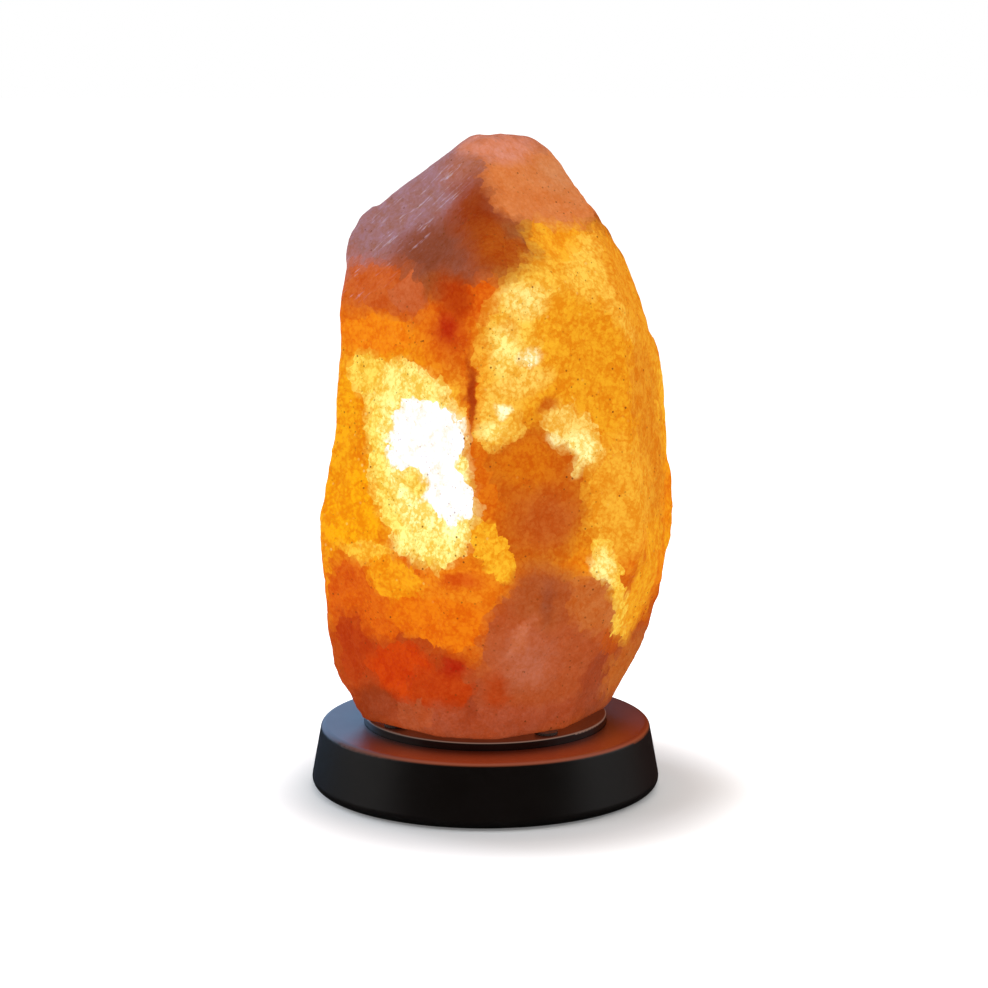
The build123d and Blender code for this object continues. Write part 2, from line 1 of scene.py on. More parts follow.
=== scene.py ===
"""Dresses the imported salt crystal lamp: hewn salt, satin base, lamp holder, bulb and studio.

Metres, +Z up, the front faces -Y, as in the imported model. Places that are easier to read in
millimetres are written so and turned into metres by MM.
"""

import logging
import math
from dataclasses import dataclass, field
from enum import Enum

import bmesh
import bpy
from mathutils import Matrix, Vector, noise


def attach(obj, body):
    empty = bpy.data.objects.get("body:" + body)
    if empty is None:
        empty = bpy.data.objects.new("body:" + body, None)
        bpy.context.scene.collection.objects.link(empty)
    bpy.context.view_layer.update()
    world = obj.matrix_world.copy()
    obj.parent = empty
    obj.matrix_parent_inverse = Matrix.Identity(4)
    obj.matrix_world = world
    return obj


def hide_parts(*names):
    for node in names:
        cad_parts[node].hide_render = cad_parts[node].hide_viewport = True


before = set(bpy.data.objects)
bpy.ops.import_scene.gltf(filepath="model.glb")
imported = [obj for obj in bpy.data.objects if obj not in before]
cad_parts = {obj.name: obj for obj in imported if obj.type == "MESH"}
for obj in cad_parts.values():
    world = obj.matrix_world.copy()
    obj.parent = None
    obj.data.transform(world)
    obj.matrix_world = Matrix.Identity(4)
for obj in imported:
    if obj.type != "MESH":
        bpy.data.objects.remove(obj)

MM = 0.001
log = logging.getLogger("lamp")
Colour = tuple[float, float, float]
Socket = bpy.types.NodeSocket


def srgb(red: int, green: int, blue: int) -> Colour:
    """Linear colour of an 8-bit sRGB colour.

    Args:
        red: Its red, 0 to 255.
        green: Its green, 0 to 255.
        blue: Its blue, 0 to 255.

    Returns:
        The linear colour.
    """
    return tuple(
        part / 12.92 if part <= 0.04045 else ((part + 0.055) / 1.055) ** 2.4
        for part in (red / 255, green / 255, blue / 255)
    )


def smooth_step(low: float, high: float, value: float) -> float:
    """Rises smoothly from 0 at low to 1 at high."""
    share = min(max((value - low) / (high - low), 0.0), 1.0)
    return share * share * (3 - 2 * share)


# ---- node graphs -----------------------------------------------------------------------------


class Graph:
    """A material's node tree with short methods for the nodes that the finishes use."""

    def __init__(self, name: str) -> None:
        """Starts a material that holds one Principled shader.

        Args:
            name: Name of the material.
        """
        self.material = bpy.data.materials.new(name)
        self.material.use_nodes = True
        self.tree = self.material.node_tree
        self.shader = self.tree.nodes["Principled BSDF"]
        place = self.tree.nodes.new("ShaderNodeTexCoord").outputs["Object"]
        self.place = self.vector("SCALE", place, scale=1 / MM)

    def put(self, socket: Socket, value: Socket | float | tuple) -> None:
        """Links a socket to a node's output, or sets it to a value.

        Args:
            socket: The input.
            value: An output, a number, or a colour or vector.
        """
        if isinstance(value, bpy.types.NodeSocket):
            self.tree.links.new(value, socket)
        elif isinstance(value, tuple) and socket.type == "RGBA":
            socket.default_value = (*value, 1.0)
        else:
            socket.default_value = value

    def number(self, operation: str, first: Socket | float, second: Socket | float = 0.0) -> Socket:
        """Result of a Math node, clamped to nothing.

        Args:
            operation: The node's operation.
            first: First number.
            second: Second number.

        Returns:
            The result.
        """
        node = self.tree.nodes.new("ShaderNodeMath")
        node.operation = operation
        self.put(node.inputs[0], first)
        self.put(node.inputs[1], second)
        return node.outputs[0]

    def total(self, *terms: Socket | float) -> Socket:
        """Sum of numbers.

        Args:
            terms: The numbers.

        Returns:
            Their sum.
        """
        result = terms[0]
        for term in terms[1:]:
            result = self.number("ADD", result, term)
        return result

    def product(self, *factors: Socket | float) -> Socket:
        """Product of numbers.

        Args:
            factors: The numbers.

        Returns:
            Their product.
        """
        result = factors[0]
        for factor in factors[1:]:
            result = self.number("MULTIPLY", result, factor)
        return result

    def parts(self, value: Socket, kind: str = "Color") -> bpy.types.NodeOutputs:
        """Red, green and blue of a colour, or X, Y and Z of a vector (kind XYZ).

        Args:
            value: The colour or vector.
            kind: Color, or XYZ for a vector.

        Returns:
            The outputs that hold its parts.
        """
        node = self.tree.nodes.new(f"ShaderNodeSeparate{kind}")
        self.put(node.inputs[0], value)
        return node.outputs

    def wander(self, size: float, reach: float) -> Socket:
        """Cloudy vector of up to about reach millimetres, whose lumps are about size across."""
        cloud = self.vector("SUBTRACT", self.noise(size, 2.0, colour=True), (0.5, 0.5, 0.5))
        return self.vector("SCALE", cloud, scale=reach * 2)

    def vector(
        self, operation: str, first: Socket | tuple, second: Socket | tuple | None = None, scale: float = 1.0
    ) -> Socket:
        """Result of a Vector Math node: a number for LENGTH and DOT_PRODUCT, else a vector.

        Args:
            operation: The node's operation.
            first: First vector.
            second: Second vector, where the operation has one.
            scale: Factor for SCALE.

        Returns:
            The result.
        """
        node = self.tree.nodes.new("ShaderNodeVectorMath")
        node.operation = operation
        self.put(node.inputs[0], first)
        if second is not None:
            self.put(node.inputs[1], second)
        if operation == "SCALE":
            self.put(node.inputs["Scale"], scale)
        return node.outputs["Value" if operation in ("LENGTH", "DOT_PRODUCT") else "Vector"]

    def turned(self, middle: tuple, tilt: float, size: tuple, place: Socket | None = None) -> Socket:
        """Coordinates of an ellipsoid: 0 in its middle, length 1 on its skin, turned about Y.

        Args:
            middle: The ellipsoid's middle.
            tilt: Degrees that its top leans to the right.
            size: Half its width, depth and height.
            place: Coordinates in millimetres, or none for those of the skin itself.

        Returns:
            The coordinates.
        """
        node = self.tree.nodes.new("ShaderNodeMapping")
        node.vector_type = "TEXTURE"
        node.inputs["Location"].default_value = middle
        node.inputs["Rotation"].default_value = (0.0, math.radians(tilt), 0.0)
        node.inputs["Scale"].default_value = size
        self.put(node.inputs["Vector"], place or self.place)
        return node.outputs[0]

    def inside(
        self, middle: tuple, tilt: float, size: tuple, soft: float, place: Socket | None = None
    ) -> Socket:
        """1 inside an ellipsoid turned about Y, 0 outside, with a blurred rim.

        Args:
            middle: The ellipsoid's middle.
            tilt: Degrees that its top leans to the right.
            size: Half its width, depth and height.
            soft: Width of the blurred rim as a share of the size.
            place: Coordinates in millimetres, or none for those of the skin itself.

        Returns:
            The mask.
        """
        node = self.tree.nodes.new("ShaderNodeTexGradient")
        node.gradient_type = "SPHERICAL"
        mapping = node.texture_mapping
        mapping.vector_type = "TEXTURE"
        mapping.translation = middle
        mapping.rotation = (0.0, math.radians(tilt), 0.0)
        mapping.scale = tuple(part * (1 + soft) for part in size)
        self.put(node.inputs["Vector"], place or self.place)
        return self.spread(node.outputs[1], 0.0, 2 * soft / (1 + soft))

    def noise(
        self, size: float, detail: float = 3.0, place: Socket | None = None, colour: bool = False,
        roughness: float = 0.55, distortion: float = 0.0,
    ) -> Socket:
        """Cloudy noise whose lumps are about size millimetres across.

        Args:
            size: Size of the lumps.
            detail: Number of finer layers.
            place: Coordinates in millimetres, or none for those of the skin itself.
            colour: Whether it gives three numbers, as a colour.
            roughness: Weight of the finer layers.
            distortion: How far the lumps are bent.

        Returns:
            The noise, about 0.5 in the mean.
        """
        node = self.tree.nodes.new("ShaderNodeTexNoise")
        node.inputs["Scale"].default_value = 1 / size
        node.inputs["Detail"].default_value = detail
        node.inputs["Roughness"].default_value = roughness
        node.inputs["Distortion"].default_value = distortion
        self.put(node.inputs["Vector"], place or self.place)
        return node.outputs["Color" if colour else 0]

    def cells(
        self, size: float, output: str = "Distance", feature: str = "F1", place: Socket | None = None
    ) -> Socket:
        """Voronoi cells about size millimetres across.

        Args:
            size: Size of a cell.
            output: Which of the node's outputs is given.
            feature: What is measured: the nearest point, or the distance to the edge.
            place: Coordinates in millimetres, or none for those of the skin itself.

        Returns:
            The output.
        """
        node = self.tree.nodes.new("ShaderNodeTexVoronoi")
        node.feature = feature
        node.inputs["Scale"].default_value = 1 / size
        self.put(node.inputs["Vector"], place or self.place)
        return node.outputs[output]

    def spread(
        self, value: Socket, low: float, high: float, to_low: float = 0.0, to_high: float = 1.0
    ) -> Socket:
        """Value carried smoothly from one span to another, and held at its ends.

        Args:
            value: The value.
            low: Start of its span.
            high: End of its span.
            to_low: Start of the new span.
            to_high: End of the new span.

        Returns:
            The value in the new span.
        """
        node = self.tree.nodes.new("ShaderNodeMapRange")
        node.interpolation_type = "SMOOTHSTEP"
        self.put(node.inputs["Value"], value)
        for name, number in (("From Min", low), ("From Max", high), ("To Min", to_low), ("To Max", to_high)):
            node.inputs[name].default_value = number
        return node.outputs[0]

    def ramp(self, value: Socket, stops: tuple[tuple[float, Colour], ...]) -> Socket:
        """Colour ramp through the given stops.

        Args:
            value: Place on the ramp, 0 to 1.
            stops: Places and colours.

        Returns:
            The colour.
        """
        node = self.tree.nodes.new("ShaderNodeValToRGB")
        elements = node.color_ramp.elements
        while len(elements) < len(stops):
            elements.new(0.5)
        for element, (position, colour) in zip(elements, stops):
            element.position = position
            element.color = (*colour, 1.0)
        self.put(node.inputs[0], value)
        return node.outputs["Color"]

    def mix(
        self, share: Socket | float, first: Socket | Colour, second: Socket | Colour, blend: str = "MIX"
    ) -> Socket:
        """Mix of two colours.

        Args:
            share: Share of the second colour.
            first: First colour.
            second: Second colour.
            blend: The node's blend type.

        Returns:
            The mixed colour.
        """
        node = self.tree.nodes.new("ShaderNodeMix")
        node.data_type = "RGBA"
        node.blend_type = blend
        self.put(node.inputs["Factor"], share)
        self.put(node.inputs[6], first)
        self.put(node.inputs[7], second)
        return node.outputs[2]

    def blend(self, share: Socket | float, first: Socket | float, second: Socket | float) -> Socket:
        """Mix of two numbers.

        Args:
            share: Share of the second number.
            first: First number.
            second: Second number.

        Returns:
            The mixed number.
        """
        node = self.tree.nodes.new("ShaderNodeMix")
        self.put(node.inputs[0], share)
        self.put(node.inputs[2], first)
        self.put(node.inputs[3], second)
        return node.outputs[0]

    def bump(self, height: Socket, depth: float, below: Socket | None = None) -> Socket:
        """Bump of the given depth in millimetres, laid over another bump.

        Args:
            height: Height of the relief, 0 to 1.
            depth: Height in millimetres that 1 stands for.
            below: The bump that it is laid over, if any.

        Returns:
            The normal.
        """
        node = self.tree.nodes.new("ShaderNodeBump")
        node.inputs["Strength"].default_value = 1.0
        node.inputs["Distance"].default_value = depth * MM
        self.put(node.inputs["Height"], height)
        if below is not None:
            self.put(node.inputs["Normal"], below)
        return node.outputs[0]

    def finish(self, **values: Socket | float | tuple) -> bpy.types.Material:
        """Sets the shader's sockets, named with underscores for spaces, and returns the material.

        Args:
            values: Outputs, numbers or colours by socket.

        Returns:
            The material.
        """
        for name, value in values.items():
            self.put(self.shader.inputs[name.replace("_", " ")], value)
        return self.material


# ---- plain finishes --------------------------------------------------------------------------


@dataclass(frozen=True)
class Moulded:
    """Moulded plastic or rubber with a fine grain and slightly uneven gloss.

    Attributes:
        name: The finish.
        colour: Its linear colour.
        roughness: Mean roughness.
        grain: Size of the moulded grain, in millimetres.
        depth: Depth of the grain, in millimetres.
        specular: Level of the plain reflection.
        coat: Weight of the satin skin.
        coat_index: Refractive index of that skin.
    """

    name: str
    colour: Colour
    roughness: float = 0.45
    grain: float = 0.6
    depth: float = 0.02
    specular: float = 0.5
    coat: float = 0.0
    coat_index: float = 1.8

    def material(self) -> bpy.types.Material:
        """Builds the node material."""
        return self.mould(Graph(self.name))

    def mould(self, graph: Graph) -> bpy.types.Material:
        """Lays colour, gloss and grain on a graph's shader.

        Args:
            graph: The material's graph.

        Returns:
            The material.
        """
        cloud = graph.noise(18.0, 3.0)
        grain = graph.noise(self.grain, 2.0)
        light = tuple(min(part * 1.25 + 0.001, 1.0) for part in self.colour)
        shade = graph.mix(graph.spread(cloud, 0.3, 0.7), self.colour, light)
        rough = graph.spread(graph.noise(7.0, 4.0), 0.3, 0.7, self.roughness - 0.02, self.roughness + 0.02)
        return graph.finish(
            Base_Color=shade, Roughness=rough, Normal=graph.bump(grain, self.depth),
            Specular_IOR_Level=self.specular, Coat_Weight=self.coat, Coat_Roughness=self.roughness - 0.04,
            Coat_IOR=self.coat_index,
        )


@dataclass(frozen=True)
class PaintedGlowShell(Moulded):
    """Moulded shell whose top has the salt foot's light painted in as emission: a painted glow on the level
    top and a painted highlight on its rounded edge.

    Attributes:
        warm: Painted glow on the level top.
        rim: Painted highlight on the rounded edge of the top.
        radii: Distances from the axis between which the painted light changes, in millimetres.
        shares: Share of the painted light inside and outside of those distances.
        toward: Direction in which the painted light grows.
        reach: Distances in that direction between which it grows, in millimetres.
        least: Share of the painted light that is left on the far side.
        level: Upward part of a face's normal where the top begins, and where it is all top.
    """

    warm: Colour = (0.15, 0.013, 0.001)
    rim: Colour = (0.68, 0.16, 0.052)
    radii: tuple[float, float] = (45.0, 58.0)
    shares: tuple[float, float] = (0.25, 1.1)
    toward: tuple[float, float, float] = (0.45, -0.9, 0.0)
    reach: tuple[float, float] = (-5.0, 50.0)
    least: float = 0.15
    level: tuple[float, float] = (0.3, 0.97)

    def material(self) -> bpy.types.Material:
        """Builds the node material.

        Returns:
            The material.
        """
        graph = Graph(self.name)
        self.mould(graph)
        # Painted light: the salt's light on the base is emission laid on the top, not light cast by the salt.
        facing = graph.tree.nodes.new("ShaderNodeTexCoord").outputs["Normal"]
        upward = graph.spread(graph.parts(facing, "XYZ")["Z"], *self.level)
        radius = graph.vector("LENGTH", graph.vector("MULTIPLY", graph.place, (1.0, 1.0, 0.0)))
        fall = graph.spread(radius, *self.radii, *self.shares)
        ahead = graph.vector("DOT_PRODUCT", graph.place, self.toward)
        share = graph.product(graph.spread(ahead, *self.reach, self.least, 1.0), upward)
        # The rounded edge gets the painted highlight, the level top the painted glow.
        sloped = graph.product(share, graph.number("SUBTRACT", 1.0, upward))
        glow = graph.mix(1.0, self.warm, graph.product(share, fall), "MULTIPLY")
        edge = graph.mix(1.0, self.rim, sloped, "MULTIPLY")
        return graph.finish(Emission_Color=graph.mix(1.0, glow, edge, "ADD"), Emission_Strength=1.0)


@dataclass(frozen=True)
class Metal:
    """Bare or plated metal with fine drawing marks round the Z axis."""

    name: str
    colour: Colour
    roughness: float = 0.3
    tarnish: float = 0.25

    def material(self) -> bpy.types.Material:
        """Builds the node material.

        Returns:
            The material.
        """
        graph = Graph(self.name)
        stretched = graph.turned((0.0, 0.0, 0.0), 0.0, (6.0, 6.0, 0.25))
        marks = graph.noise(1.0, 3.0, stretched)
        dull = graph.spread(graph.noise(3.5, 4.0), 0.42, 0.72, 0.0, self.tarnish)
        dark = tuple(part * 0.45 for part in self.colour)
        rough = graph.spread(marks, 0.3, 0.7, self.roughness - 0.08, self.roughness + 0.12)
        return graph.finish(
            Base_Color=graph.mix(dull, self.colour, dark), Metallic=1.0, Roughness=rough,
            Normal=graph.bump(marks, 0.01),
        )


@dataclass(frozen=True)
class ClearGlass:
    """Clear blown glass with faint draw lines."""

    name: str
    tint: Colour = (0.98, 0.98, 0.97)

    def material(self) -> bpy.types.Material:
        """Builds the node material.

        Returns:
            The material.
        """
        graph = Graph(self.name)
        lines = graph.noise(1.0, 2.0, graph.turned((0.0, 0.0, 0.0), 0.0, (5.0, 5.0, 40.0)))
        rough = graph.spread(graph.noise(9.0, 3.0), 0.35, 0.7, 0.01, 0.05)
        shade = graph.mix(graph.spread(lines, 0.4, 0.6), self.tint, tuple(part * 0.97 for part in self.tint))
        return graph.finish(
            Base_Color=shade, Transmission_Weight=0.95, Roughness=rough, IOR=1.5,
            Normal=graph.bump(lines, 0.02),
        )


@dataclass(frozen=True)
class HotWire:
    """Bright wire that glows, in patches of paler and deeper yellow."""

    name: str

    def material(self) -> bpy.types.Material:
        """Builds the node material.

        Returns:
            The material.
        """
        graph = Graph(self.name)
        coils = graph.noise(0.6, 2.0, graph.turned((0.0, 0.0, 0.0), 0.0, (0.5, 5.0, 5.0)))
        glow = graph.ramp(coils, ((0.3, srgb(255, 196, 96)), (0.7, srgb(255, 240, 190))))
        return graph.finish(
            Base_Color=glow, Roughness=0.4, Emission_Color=glow, Emission_Strength=1.0,
            Normal=graph.bump(coils, 0.05),
        )


# ---- the salt --------------------------------------------------------------------------------


@dataclass(frozen=True)
class Patch:
    """A named patch of the salt, laid over the ones before it.

    Attributes:
        name: What the patch is.
        middle: Its middle, in millimetres.
        size: Half its width, depth and height, in millimetres.
        colour: Its linear colour.
        glow: Share of the colour that shines from inside.
        tilt: Degrees that its top leans to the right.
        soft: Width of its blurred rim as a share of its size.
    """

    name: str
    middle: tuple[float, float, float]
    size: tuple[float, float, float]
    colour: Colour
    glow: float
    tilt: float = 0.0
    soft: float = 0.25


WHITE_HOT = srgb(255, 254, 248)
PALE_YELLOW = srgb(254, 244, 148)
AMBER = srgb(244, 160, 20)
ORANGE = srgb(240, 128, 12)
DEEP_ORANGE = srgb(214, 92, 16)
BROWN = srgb(186, 82, 20)
TERRACOTTA = srgb(190, 90, 50)
# The salt's own pink with a painted reflection of cool window light.
MAUVE_WITH_PAINTED_SHEEN = srgb(184, 128, 122)
PEACH = srgb(240, 138, 70)
# Painted highlight: colour of the glints on the upper left facet.
PAINTED_GLINT = srgb(214, 184, 190)
CLAY = srgb(128, 62, 16)
OLIVE = srgb(188, 136, 30)
BUBBLE = srgb(254, 236, 150)
BLACK = (0.0, 0.0, 0.0)

# The patches paint the bulb's light through the salt, and the light and shade of the facets, as colour and
# emission.
SALT_PATCHES = (
    Patch("upper brown field", (-5, -30, 214), (46, 45, 31), srgb(176, 90, 56), 0.28, 0, 0.3),
    Patch("left orange field", (-30, -30, 174), (27, 45, 20), srgb(234, 120, 16), 0.8, 0, 0.35),
    Patch("right amber field", (37, -36, 157), (39, 45, 60), srgb(241, 158, 24), 0.85, 0, 0.25),
    Patch("left amber field", (-36, -31, 120), (27, 45, 54), srgb(240, 149, 10), 0.9, 0, 0.25),
    Patch("low orange field", (-30, -38, 74), (30, 45, 25), srgb(230, 108, 14), 0.8, 0, 0.25),
    Patch("low red field", (-31, -33, 47), (31, 45, 21), srgb(196, 74, 20), 0.55, 0, 0.3),
    Patch("foot field", (-2, -47, 38), (41, 45, 15), srgb(198, 88, 44), 0.35, 0, 0.35),
    Patch("middle brown field", (16, -48, 116), (23, 45, 26), srgb(208, 106, 18), 0.75, 0, 0.3),
    # Painted reflection: the facet's grey-lavender tone stands in for cool window light mirrored on it.
    Patch("mauve facet", (-30, -5, 216), (15, 45, 31), MAUVE_WITH_PAINTED_SHEEN, 0.12, 46, 0.4),
    Patch("mauve lower edge", (-20, -29, 200), (9, 45, 16), srgb(152, 78, 50), 0.3, 50, 0.6),
    Patch("top left salmon", (-5, -12, 233), (5.8, 45, 11), srgb(196, 120, 94), 0.2, 46, 0.6),
    Patch("peach facet", (20, -10, 222), (22, 45, 14), PEACH, 0.35, 18, 0.12),
    Patch("apex", (6, -7, 237), (13, 45, 4.3), srgb(244, 152, 114), 0.3, 4, 0.6),
    Patch("peach light", (28, 2, 227), (11, 45, 6.6), srgb(234, 146, 86), 0.35, 35, 0.8),
    # Painted shade: the dark wedge under the ridge.
    Patch("dark wedge", (-2, -36, 211), (8, 45, 15), srgb(156, 60, 14), 0.55, -24, 0.6),
    Patch("ridge orange", (6, -43, 203), (11, 45, 7.7), srgb(178, 80, 12), 0.75, 20, 0.8),
    Patch("ridge rim", (14, -32, 206), (7.8, 45, 2.8), srgb(168, 88, 40), 0.5, 30, 0.6),
    Patch("left shoulder", (-37, -23, 187), (16, 45, 10), srgb(214, 98, 34), 0.55, 8, 0.45),
    Patch("shoulder facet", (-26, -32, 187), (7.1, 25, 6.4), srgb(214, 104, 50), 0.5, 0, 0.2),
    Patch("wedge foot", (-13, -41, 189), (7.7, 45, 5.2), srgb(160, 78, 34), 0.5, -10, 0.5),
    Patch("ridge bright", (0, -52, 185), (10, 45, 8), srgb(224, 100, 10), 0.85, 0, 0.3),
    Patch("ridge red", (-11, -44, 176), (6.3, 45, 13), srgb(206, 80, 10), 0.85, -6, 0.8),
    Patch("ridge brown", (-10, -44, 186), (4.9, 25, 6.3), srgb(182, 60, 4), 0.8, -10, 0.8),
    Patch("ridge deep red", (-12, -44, 175), (2.8, 25, 4.2), srgb(190, 50, 8), 0.8, 0, 0.8),
    Patch("left orange rim", (-39, -23, 171), (14, 45, 6.4), srgb(242, 132, 14), 0.85, 0, 0.2),
    Patch("amber brow", (29, -21, 204), (15, 45, 6.1), srgb(247, 166, 30), 0.85, 12, 0.35),
    Patch("right yellow field", (14, -46, 175), (13, 45, 25), srgb(249, 192, 62), 0.9, 20, 0.4),
    Patch("amber gap", (9, -48, 176), (3.1, 25, 3.5), srgb(240, 160, 28), 0.88, 0, 0.7),
    Patch("low amber gap", (18, -45, 159), (5.6, 25, 2.8), srgb(240, 160, 26), 0.88, -20, 0.7),
    Patch("amber in the yellow", (28, -39, 173), (9, 45, 15), srgb(243, 166, 30), 0.88, -10, 0.25),
    Patch("right bright strip", (45, -25, 187), (5, 45, 23), srgb(249, 184, 60), 0.85, -24, 0.15),
    Patch("upper right yellow", (36, -26, 194), (7.1, 45, 10), srgb(249, 190, 64), 0.88, -10, 0.4),
    Patch("right amber", (38, -35, 167), (11, 45, 18), srgb(240, 158, 24), 0.85, -10, 0.35),
    Patch("upper pale spot", (14, -45, 186), (7, 25, 5.6), srgb(251, 216, 112), 0.95, 0, 0.7),
    Patch("left pale spot", (7, -49, 169), (5.2, 45, 7.6), srgb(251, 224, 116), 1.0, 10, 0.7),
    Patch("bright pale spot", (16, -45, 165), (4.5, 25, 2.8), srgb(254, 247, 190), 1.0, 0, 0.7),
    Patch("pale foot", (12, -48, 157), (10, 45, 4.2), srgb(248, 196, 80), 0.95, -10, 0.6),
    Patch("yellow cluster", (31, -40, 137), (13, 45, 7), srgb(250, 202, 92), 0.9, 45, 0.25),
    Patch("bright cluster", (33, -39, 133), (5.6, 25, 4.9), srgb(253, 234, 142), 1.0, 30, 0.5),
    Patch("left of the cluster", (25, -43, 136), (2.8, 25, 2.1), srgb(253, 236, 150), 1.0, 0, 0.5),
    Patch("foot of the cluster", (30, -41, 125), (4.2, 25, 2.5), srgb(252, 226, 120), 1.0, 0, 0.5),
    Patch("spots by the crack", (5, -52, 144), (7.6, 45, 9), srgb(248, 192, 70), 0.9, 0, 0.35),
    Patch("pale grain by the crack", (7, -50, 148), (2.8, 25, 2.1), srgb(254, 242, 170), 1.0, 0, 0.5),
    Patch("low grain by the crack", (3, -53, 141), (4.2, 25, 2.8), srgb(252, 228, 124), 1.0, 0, 0.6),
    Patch("brown stain", (21, -44, 148), (3.2, 25, 2.5), srgb(212, 112, 20), 0.8, 0, 0.6),
    Patch("right limb", (59, -8, 139), (5.8, 45, 48), srgb(233, 146, 30), 0.8, -4, 0.35),
    Patch("upper right limb", (52, 6, 185), (6.6, 45, 26), srgb(240, 156, 32), 0.8, -26, 0.3),
    Patch("lower right foot", (51, -2, 46), (6, 45, 13), srgb(212, 112, 40), 0.5, 30, 0.4),
    Patch("right lower amber", (49, -32, 113), (12, 45, 22), srgb(244, 168, 42), 0.85, 0, 0.3),
    Patch("lower right yellow", (46, -33, 79), (5.4, 45, 24), srgb(250, 196, 64), 0.9, -16, 0.15),
    Patch("lower right pale", (42, -37, 89), (4.3, 25, 7.1), srgb(253, 230, 128), 1.0, -10, 0.5),
    Patch("right lower limb", (58, -16, 81), (4.4, 45, 23), srgb(244, 162, 28), 0.85, 12, 0.3),
    Patch("middle brown", (17, -47, 117), (16, 45, 21), srgb(212, 106, 16), 0.75, 0, 0.2),
    Patch("upper brown", (14, -48, 129), (10, 45, 7.7), srgb(216, 112, 10), 0.85, 0, 0.5),
    Patch("lower brown", (22, -46, 108), (11, 45, 10), srgb(206, 98, 30), 0.6, 0, 0.7),
    Patch("crack", (-5, -53, 145), (2.4, 45, 25), srgb(218, 102, 10), 0.9, -4, 0.45),
    Patch("crack foot", (0, -56, 120), (4.2, 45, 19), srgb(224, 112, 12), 0.85, -10, 0.4),
    Patch("crack shade", (-5, -52, 154), (1.4, 45, 11), srgb(172, 62, 8), 0.8, -3, 0.7),
    Patch("left yellow field", (-24, -40, 127), (19, 45, 37), srgb(252, 222, 98), 0.95, -14, 0.1),
    Patch("pale hot rim", (-20, -43, 128), (16, 45, 32), PALE_YELLOW, 1.0, -14, 0.2),
    Patch("upper fringe", (-31, -32, 154), (16, 45, 6.4), srgb(252, 228, 116), 0.95, -6, 0.3),
    Patch("left upper yellow", (-43, -21, 157), (6.5, 25, 7.2), srgb(250, 208, 78), 0.9, 0, 0.3),
    Patch("hot core", (-20, -42, 138), (13, 45, 13), WHITE_HOT, 1.0, 20, 0.1),
    Patch("hot core foot", (-29, -36, 132), (6, 45, 8), WHITE_HOT, 1.0, 10, 0.1),
    Patch("lower hot core", (-13, -49, 119), (9, 45, 11), WHITE_HOT, 1.0, -6, 0.1),
    Patch("yellow between", (-25, -39, 120), (4.9, 25, 3.9), srgb(250, 218, 96), 0.95, 20, 0.5),
    Patch("hot foot", (-21, -45, 99), (12, 45, 5.6), srgb(252, 234, 124), 1.0, 0, 0.3),
    Patch("left amber", (-49, -22, 108), (11, 45, 15), srgb(248, 164, 8), 0.9, 0, 0.2),
    Patch("left limb amber", (-52, -17, 136), (5.1, 45, 24), srgb(244, 160, 14), 0.88, 0, 0.35),
    Patch("left low yellow", (-43, -29, 94), (9, 45, 4.3), srgb(251, 188, 52), 0.9, -8, 0.4),
    Patch("amber tongue", (3, -56, 99), (5.9, 45, 13), srgb(248, 176, 34), 0.9, -24, 0.12),
    Patch("orange grains", (-10, -53, 85), (15, 45, 7.7), srgb(240, 132, 18), 0.85, 0, 0.15),
    Patch("low amber patch", (-32, -38, 85), (11, 45, 7.8), srgb(247, 158, 18), 0.88, 20, 0.15),
    Patch("red orange limb", (-51, -19, 77), (8, 45, 13), srgb(224, 96, 12), 0.75, 0, 0.25),
    Patch("deep orange left", (-42, -27, 70), (11, 45, 9), srgb(230, 104, 10), 0.75, 20, 0.2),
    Patch("red stains", (-8, -54, 88), (7, 25, 2.8), srgb(222, 94, 14), 0.8, 0, 0.7),
    Patch("orange bottom", (-16, -50, 72), (20, 45, 9), srgb(237, 119, 8), 0.85, 6, 0.1),
    Patch("low left red", (-48, -19, 57), (8, 45, 13), srgb(194, 64, 12), 0.65, -12, 0.3),
    Patch("low left facet", (-30, -34, 51), (12, 45, 11), srgb(212, 66, 4), 0.72, -30, 0.2),
    Patch("low middle", (-16, -45, 46), (12, 45, 9), srgb(204, 68, 12), 0.6, 0, 0.25),
    Patch("deep red spot", (-11, -48, 56), (5, 25, 3.2), srgb(184, 40, 8), 0.75, 0, 0.8),
    Patch("left foot", (-41, -21, 35), (10, 45, 6.6), srgb(164, 62, 20), 0.5, -30, 0.5),
    Patch("pink facet", (20, -45, 61), (22, 45, 25), srgb(204, 96, 46), 0.4, 0, 0.12),
    Patch("pink upper", (21, -48, 81), (12, 45, 11), srgb(190, 92, 40), 0.52, 0, 0.5),
    Patch("grey patch", (22, -48, 79), (2.1, 25, 6.4), srgb(176, 86, 46), 0.45, 10, 0.8),
    Patch("pink light", (15, -46, 57), (9, 45, 9), srgb(214, 116, 76), 0.35, 0, 0.8),
    Patch("pink seam", (5, -50, 46), (4.6, 25, 7.1), srgb(198, 74, 24), 0.5, -14, 0.6),
    Patch("pale streak", (12, -51, 66), (1.8, 25, 7.1), srgb(222, 124, 80), 0.4, 34, 0.7),
    Patch("right dark plane", (40, -26, 50), (5.1, 45, 9), srgb(188, 82, 40), 0.4, 20, 0.25),
    Patch("pink right", (38, -37, 76), (7.9, 45, 11), srgb(212, 114, 48), 0.55, -20, 0.3),
    Patch("foot", (-2, -47, 35), (37, 45, 5.7), srgb(204, 94, 54), 0.3, 0, 0.6),
    Patch("left foot plane", (-26, -35, 36), (8, 45, 6.5), srgb(210, 98, 52), 0.35, -20, 0.15),
    Patch("foot seam", (-6, -46, 39), (2.9, 25, 6.4), srgb(186, 78, 40), 0.35, 10, 0.4),
)


